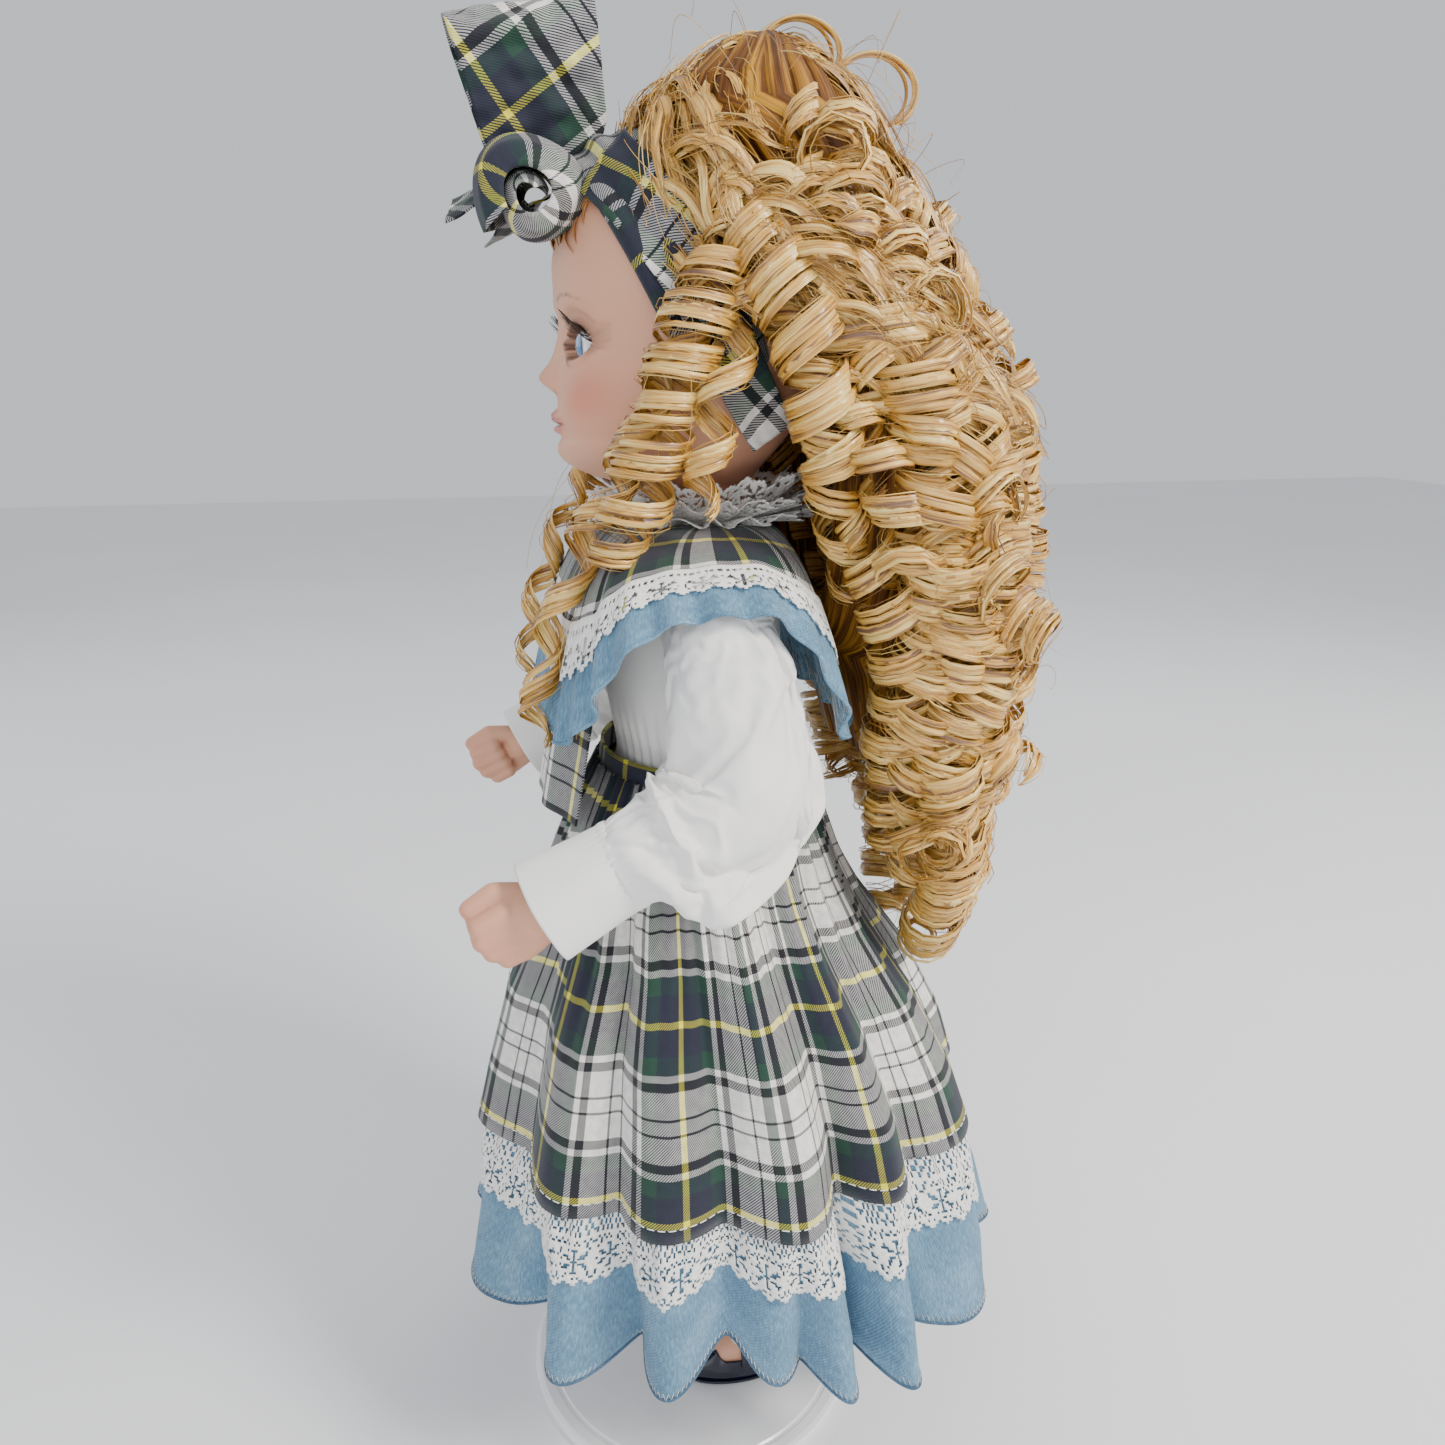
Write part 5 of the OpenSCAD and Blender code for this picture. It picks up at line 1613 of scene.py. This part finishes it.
def make_front_hair():
    """The copper tuft of fringe under the bow, and two loops that stand off the crown."""
    rng = np.random.default_rng(111)
    heap = Heap()
    for _ in range(26):
        x = rng.uniform(-20, 20)
        z = 397 + rng.uniform(-1, 3)
        y = np.interp(z, FRONT[:, 0], FRONT[:, 1]) + 0.02 * x * x - 1.2
        path = np.array([[x, y + 3, z + 3], [x + rng.normal(0, 1), y - 1.8, z - 2],
                         [x + rng.normal(0, 2), y - 3.2, z - 7], [x + rng.normal(0, 3), y - 1.6, z - 11]])
        path = spline(path, 22)
        wide = np.tile([1.0, 0, 0], (22, 1))
        thin = np.cross(tangents(path), wide)
        taper = np.interp(np.linspace(0, 1, 22), [0, 0.5, 1], [1, 0.9, 0.15])
        heap.add(path, wide, thin, 1.6 * taper, 0.6 * taper, 10, groove=0.12, along0=rng.uniform(0, 99))
    wear(heap.piece("hair_bangs_tuft"), "hair_copper", "head", ["hair_bangs"])
    heap = Heap()
    for cy, cz, r, lean in ((30, 436, 10, 0.3), (52, 428, 11, -0.2), (16, 434, 7, 0.5)):
        for j in range(4):
            a = np.linspace(-0.9, 1.5 * math.pi, 40)
            x = 8 + 4 * np.sin(a * 0.5 + j) + j * 0.9 - 4
            y = cy + (r + 0.5 * j) * np.cos(a) + lean * 3
            path = np.stack([x, y, cz + (r + 0.4 * j) * np.sin(a) * 0.8], 1)
            wide = np.tile([1.0, 0, 0], (40, 1))
            heap.add(path, wide, np.cross(tangents(path), wide), 1.0, 0.5, 8, groove=0.1, along0=j * 40)
    wear(heap.piece("hair_crown_loops"), "hair", "head")


# ---- headband and bow ----------------------------------------------------------------------------
def ribbon(name, centre, across_axis, width, replaces=(), thickness=0.55, crease=0.0,
           turn=0.0, columns=40, shift=(0, 0)):
    """A tartan ribbon along a centre line; across_axis points across it at every point."""
    centre = np.asarray(centre, float)
    width = np.broadcast_to(width, (len(centre),))
    w = np.linspace(-0.5, 0.5, columns)
    points = centre[:, None] + across_axis[:, None] * (w[None, :] * width[:, None])[..., None]
    normal = grid_normals(points, False)
    wave = np.array([noise.noise(Vector((i * 0.11, j * 0.16, 7.0))) for i in range(len(centre))
                     for j in range(columns)]).reshape(len(centre), columns)
    points = points + normal * (crease * wave)[..., None]
    length = arc_lengths(centre, False)
    mm_across = np.repeat(length[:, None], columns, 1)
    mm_along = w[None, :] * width[:, None]
    u = mm_across * math.cos(turn) - mm_along * math.sin(turn)
    v = mm_across * math.sin(turn) + mm_along * math.cos(turn)
    piece = thicken(grid_piece(name, points, u + shift[0], v + shift[1], wrap=False), thickness)
    wear(piece, "tartan", "head", replaces)
    return piece


def make_headband():
    lean = np.array([0, -0.457, 0.889])
    normal = np.array([0, 0.889, 0.457])
    phi = np.linspace(-2.1, 2.1, 160)
    w = np.linspace(-11, 11, 28)
    reach = 50.5 - 0.055 * w ** 2 * 0.5
    side = 39.5 - 0.02 * w ** 2
    fore = np.where(np.cos(phi) > 0, np.cos(phi), np.cos(phi) * 0.8)
    p = (np.sin(phi)[:, None, None] * np.array([1.0, 0, 0]) * side[None, :, None]
         + fore[:, None, None] * lean * reach[None, :, None])
    points = np.array([0, 0, 370]) + p + normal * w[None, :, None]
    pleat = 0.8 * np.cos(w / 22 * TAU * 2.5 + 0.6 * np.sin(phi * 5)[:, None])
    points = points + grid_normals(points, False) * pleat[..., None]
    length = arc_lengths(points[:, 14], False)
    u = np.repeat(length[:, None], 28, 1)
    v = np.repeat(w[None, :], 160, 0)
    band = thicken(grid_piece("headband_tartan", points, u - 29, v + 3, wrap=False), 0.7)
    wear(band, "tartan", "head", ["headband"])


def make_bow():
    # The upright loop: a wide ribbon that goes up, over and down again, its width running front to back.
    t = np.linspace(0, 1, 160)
    angle = np.interp(t, [0, 0.36, 0.64, 1], [0, 0, 1, 1]) * math.pi
    x = np.interp(t, [0, 0.36, 0.5, 0.64, 1], [3.0, 7.6, 0, -7.6, -3.0])
    x = np.where((t > 0.36) & (t < 0.64), 7.6 * np.cos(angle), x)
    z = np.interp(t, [0, 0.36, 0.64, 1], [0, 31, 31, 0])
    z = z + np.where((t > 0.36) & (t < 0.64), 7.4 * np.sin(angle), 0)
    tilt = math.radians(11)
    up = np.array([0, -math.sin(tilt), math.cos(tilt)])
    front = np.array([0, math.cos(tilt), math.sin(tilt)])
    base = np.array([-6, -34, 409.0])
    centre = base + x[:, None] * np.array([1.0, 0, 0]) + z[:, None] * up
    width = np.interp(z, [0, 8, 38], [24, 33, 39])
    ribbon("bow_loop_upright", centre, np.tile(front, (160, 1)), width, ["bow_upright_loop"],
           crease=1.6, turn=0.45,
           shift=(-16, 2))
    # The rolled loop: a ribbon wound into a cone that opens towards the doll's left.
    columns = 30
    a = np.linspace(0.6, TAU * 1.6, 150)
    w = np.linspace(0.0, 1.0, columns)
    swell = np.interp(w, [0, 0.3, 0.6, 0.85, 1], [0.55, 0.9, 1.0, 0.82, 0.42])
    spiral = np.interp(a, [0.6, TAU * 0.7, TAU * 1.6], [3.4, 9.5, 14.6])[:, None] * swell[None, :]
    spiral = spiral * (1 + 0.05 * np.sin(3 * a + 1))[:, None]
    reach = 2.5 + 24.5 * w[None, :] - 0.22 * (13 - spiral) + 1.2 * np.sin(2 * a)[:, None] * w[None, :]
    points = np.stack([reach, -38 - 4 * w[None, :] + spiral * np.cos(a)[:, None] * 1.12,
                       400.0 - 1.5 * w[None, :] + spiral * np.sin(a)[:, None] * 1.1], -1)
    length = arc_lengths(points[:, 18], False)
    u = np.repeat(length[:, None], columns, 1)
    v = np.repeat(((1 - w) * 27 - 1.2)[None, :], 150, 0)
    rolled = thicken(grid_piece("bow_loop_rolled", points, 0.93 * u - 0.37 * v - 21, 0.37 * u + 0.93 * v - 36,
                                wrap=False), 0.55)
    wear(rolled, "tartan", "head", ["bow_rolled_loop"])
    # The knot.
    a = ring_angles(80)
    xs = np.linspace(-2.5, 9.5, 24)
    r = 6.3 + 0.6 * np.cos((xs - 3) / 3) - 0.8 * (np.abs(xs - 3.5) / 6) ** 4
    r = r[None, :] + 0.5 * np.cos(4 * a)[:, None]
    points = np.stack([np.repeat(xs[None, :], 80, 0), -38 + r * np.cos(a)[:, None],
                       400.5 + r * np.sin(a)[:, None]], -1)
    across, along = cloth_uvs(points, True)
    knot = thicken(grid_piece("bow_knot_wrap", points, across, along), 0.8)
    wear(knot, "tartan", "head", ["bow_knot"])
    # Two short pointed tails.
    for k, (start, end) in enumerate(((np.array([0, -42, 401.0]), np.array([-3, -62, 397])),
                                      (np.array([-4, -38, 400.0]), np.array([-26, -46, 394])))):
        path = spline([start, (start + end) / 2 + [0, 0, 2.5], end], 30)
        wide = unit(np.cross(tangents(path), [0, 0, 1.0])) + [0, 0, 0.5]
        ribbon(f"bow_tail_{k}", path, wide, np.linspace(9, 15, 30), ["bow_tails"] if k == 0 else (),
               crease=0.8, turn=0.7, columns=20)


def make_side_ribbon():
    """Dark tartan ribbon that comes down behind the temple to the nape on each side."""
    for side, name in ((1, "left"), (-1, "right")):
        path = spline([[22, -24, 407], [34, -14, 394], [39.5, -2, 376], [40, 8, 356], [34, 18, 340]], 60)
        wide = unit(np.cross(tangents(path), unit((path - [0, 4, 372]) * [1, 1, 0.5])))
        ribbon(f"{name}_side_ribbon", mirrored(path, side), mirrored(wide, side), np.linspace(18, 13, 60),
               crease=1.2, columns=24, turn=0.25)


# ---- stage ---------------------------------------------------------------------------------------
LENS_MM = 27.06                # with Blender's own 36 mm sensor
CAMERA_SHIFT = 0.0115          # metres to the right, so that the doll stands a little left of the middle


def make_stage():
    s = sizes()
    bpy.ops.mesh.primitive_plane_add(size=6, location=(0, 0, -0.0002))
    floor = bpy.context.object
    floor.name = "floor"
    material, tree, shader = new_material("Pale_floor", Roughness=0.6)
    place = object_place(tree)
    tint = ramp(tree, noise_at(tree, place, 2, 3), [(0.2, linear("#E6E7E9")), (0.8, linear("#ECEDEF"))])
    tree.links.new(tint, shader.inputs["Base Color"])
    floor.data.materials.append(material)

    azimuth, pitch = s.camera_azimuth, s.camera_pitch
    back = Vector((math.sin(azimuth), -math.cos(azimuth), 0))
    right = Vector((math.cos(azimuth), math.sin(azimuth), 0))
    look = Vector((-back.x * math.cos(pitch), -back.y * math.cos(pitch), -math.sin(pitch)))
    camera = bpy.data.objects.new("camera", bpy.data.cameras.new("camera"))
    bpy.context.scene.collection.objects.link(camera)
    camera.location = back * s.camera_distance + right * CAMERA_SHIFT + Vector((0, 0, s.camera_height))
    camera.rotation_euler = look.to_track_quat("-Z", "Y").to_euler()
    camera.data.lens = LENS_MM
    camera.data.clip_start = 0.01
    bpy.context.scene.camera = camera

    lights = (("key", (0.75, 0.85, 1.15), 0.4, 25, "#FFFAF2"), ("fill", (1.1, -0.5, 0.7), 1.0, 7, "#F4F7FF"),
              ("rim", (-0.6, 0.9, 1.0), 0.7, 4, "#FFFFFF"), ("front", (-0.7, -0.9, 0.8), 1.0, 3, "#FFFFFF"))
    for name, place, size, power, tint in lights:
        lamp = bpy.data.lights.new(name, "AREA")
        lamp.size, lamp.energy, lamp.color = size, power, linear(tint)
        holder = bpy.data.objects.new(name, lamp)
        bpy.context.scene.collection.objects.link(holder)
        holder.location = place
        holder.rotation_euler = (Vector((0, 0, 0.25)) - Vector(place)).to_track_quat("-Z", "Y").to_euler()
    world = bpy.data.worlds.new("studio")
    world.use_nodes = True
    background = world.node_tree.nodes["Background"]
    background.inputs["Color"].default_value = opaque(linear("#E6E9EE"))
    background.inputs["Strength"].default_value = 0.9
    bpy.context.scene.world = world


# ---- carried-over CAD nodes ----------------------------------------------------------------------
NODE_MATERIALS = {
    "stand_base": "enamel", "stand_tube": "enamel", "tube_collar": "enamel", "stand_rod": "enamel",
    "set_screw": "steel", "waist_clip": "steel", "clip_tips": "vinyl_tip", "neck_bolt": "steel",
    "neck_plug": "beech", "neck_washer": "felt", "crown_pate": "card", "shoulder_plate": "bisque",
    "left_lower_leg": "bisque", "right_lower_leg": "bisque",
}


def dress_nodes():
    for name, finish in NODE_MATERIALS.items():
        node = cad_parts[name]
        node.data.materials.clear()
        node.data.materials.append(material_of(finish))


# ---- operators -----------------------------------------------------------------------------------
class Making:
    """What each of the doll's operators does: it calls the functions in makes, in order."""

    def execute(self, context):
        for make in self.makes:
            make()
        return {"FINISHED"}


class DOLL_OT_stage(Making, bpy.types.Operator):
    """Makes the floor, the lights and the camera"""
    bl_idname = "doll.stage"
    bl_label = "Stage"
    makes = (make_stage,)


class DOLL_OT_hardware(Making, bpy.types.Operator):
    """Gives the stand and the doll's inner parts their finishes"""
    bl_idname = "doll.hardware"
    bl_label = "Stand and hardware"
    makes = (dress_nodes,)


class DOLL_OT_skirt(Making, bpy.types.Operator):
    """Makes the tartan skirt, the lace flounce and the denim ruffle"""
    bl_idname = "doll.skirt"
    bl_label = "Skirt"
    makes = (make_skirt, make_ruffle, make_skirt_lace)


class DOLL_OT_dress(Making, bpy.types.Operator):
    """Makes the bodice, the collar, the bib and the petticoat"""
    bl_idname = "doll.dress"
    bl_label = "Bodice and collar"
    makes = (make_bodice, make_collar, make_neck_ruffle)


class DOLL_OT_arms(Making, bpy.types.Operator):
    """Makes the porcelain hands, the sleeves and the cuffs"""
    bl_idname = "doll.arms"
    bl_label = "Arms"
    makes = (make_arms,)


class DOLL_OT_body(Making, bpy.types.Operator):
    """Makes the stuffed body, the legs, the socks and the shoes"""
    bl_idname = "doll.body"
    bl_label = "Body and legs"
    makes = (make_body, make_legs)


class DOLL_OT_head(Making, bpy.types.Operator):
    """Makes the porcelain head with its glass eyes and lashes"""
    bl_idname = "doll.head"
    bl_label = "Head"
    makes = (make_head,)


class DOLL_OT_wig(Making, bpy.types.Operator):
    """Makes the wig: the crown, the ringlets, the fringe and the loose hairs"""
    bl_idname = "doll.wig"
    bl_label = "Wig"
    makes = (make_under_hair, make_crown, make_ringlets, make_front_hair)


class DOLL_OT_bow(Making, bpy.types.Operator):
    """Makes the headband and the bow"""
    bl_idname = "doll.bow"
    bl_label = "Bow"
    makes = (make_headband, make_bow, make_side_ribbon)


OPERATORS = (DOLL_OT_stage, DOLL_OT_hardware, DOLL_OT_body, DOLL_OT_dress, DOLL_OT_skirt, DOLL_OT_arms,
             DOLL_OT_head, DOLL_OT_wig, DOLL_OT_bow)


class DOLL_PT_panel(bpy.types.Panel):
    """Lists the pieces of the doll"""
    bl_idname = "DOLL_PT_panel"
    bl_label = "Porcelain doll"
    bl_space_type = "VIEW_3D"
    bl_region_type = "UI"
    bl_category = "Doll"

    def draw(self, context):
        for operator in OPERATORS:
            self.layout.operator(operator.bl_idname)
        for group in (context.scene.doll_sizes, context.scene.doll_colours):
            for name in group.__annotations__:
                self.layout.prop(group, name)


CLASSES = (DollColours, DollSizes, *OPERATORS, DOLL_PT_panel)


def register():
    for cls in CLASSES:
        bpy.utils.register_class(cls)
    bpy.types.Scene.doll_colours = bpy.props.PointerProperty(type=DollColours)
    bpy.types.Scene.doll_sizes = bpy.props.PointerProperty(type=DollSizes)


def unregister():
    del bpy.types.Scene.doll_sizes
    del bpy.types.Scene.doll_colours
    for cls in reversed(CLASSES):
        bpy.utils.unregister_class(cls)


def main():
    register()
    for operator in OPERATORS:
        group, name = operator.bl_idname.split(".")
        getattr(getattr(bpy.ops, group), name)()
    bpy.context.view_layer.update()


if __name__ == "__main__":
    main()
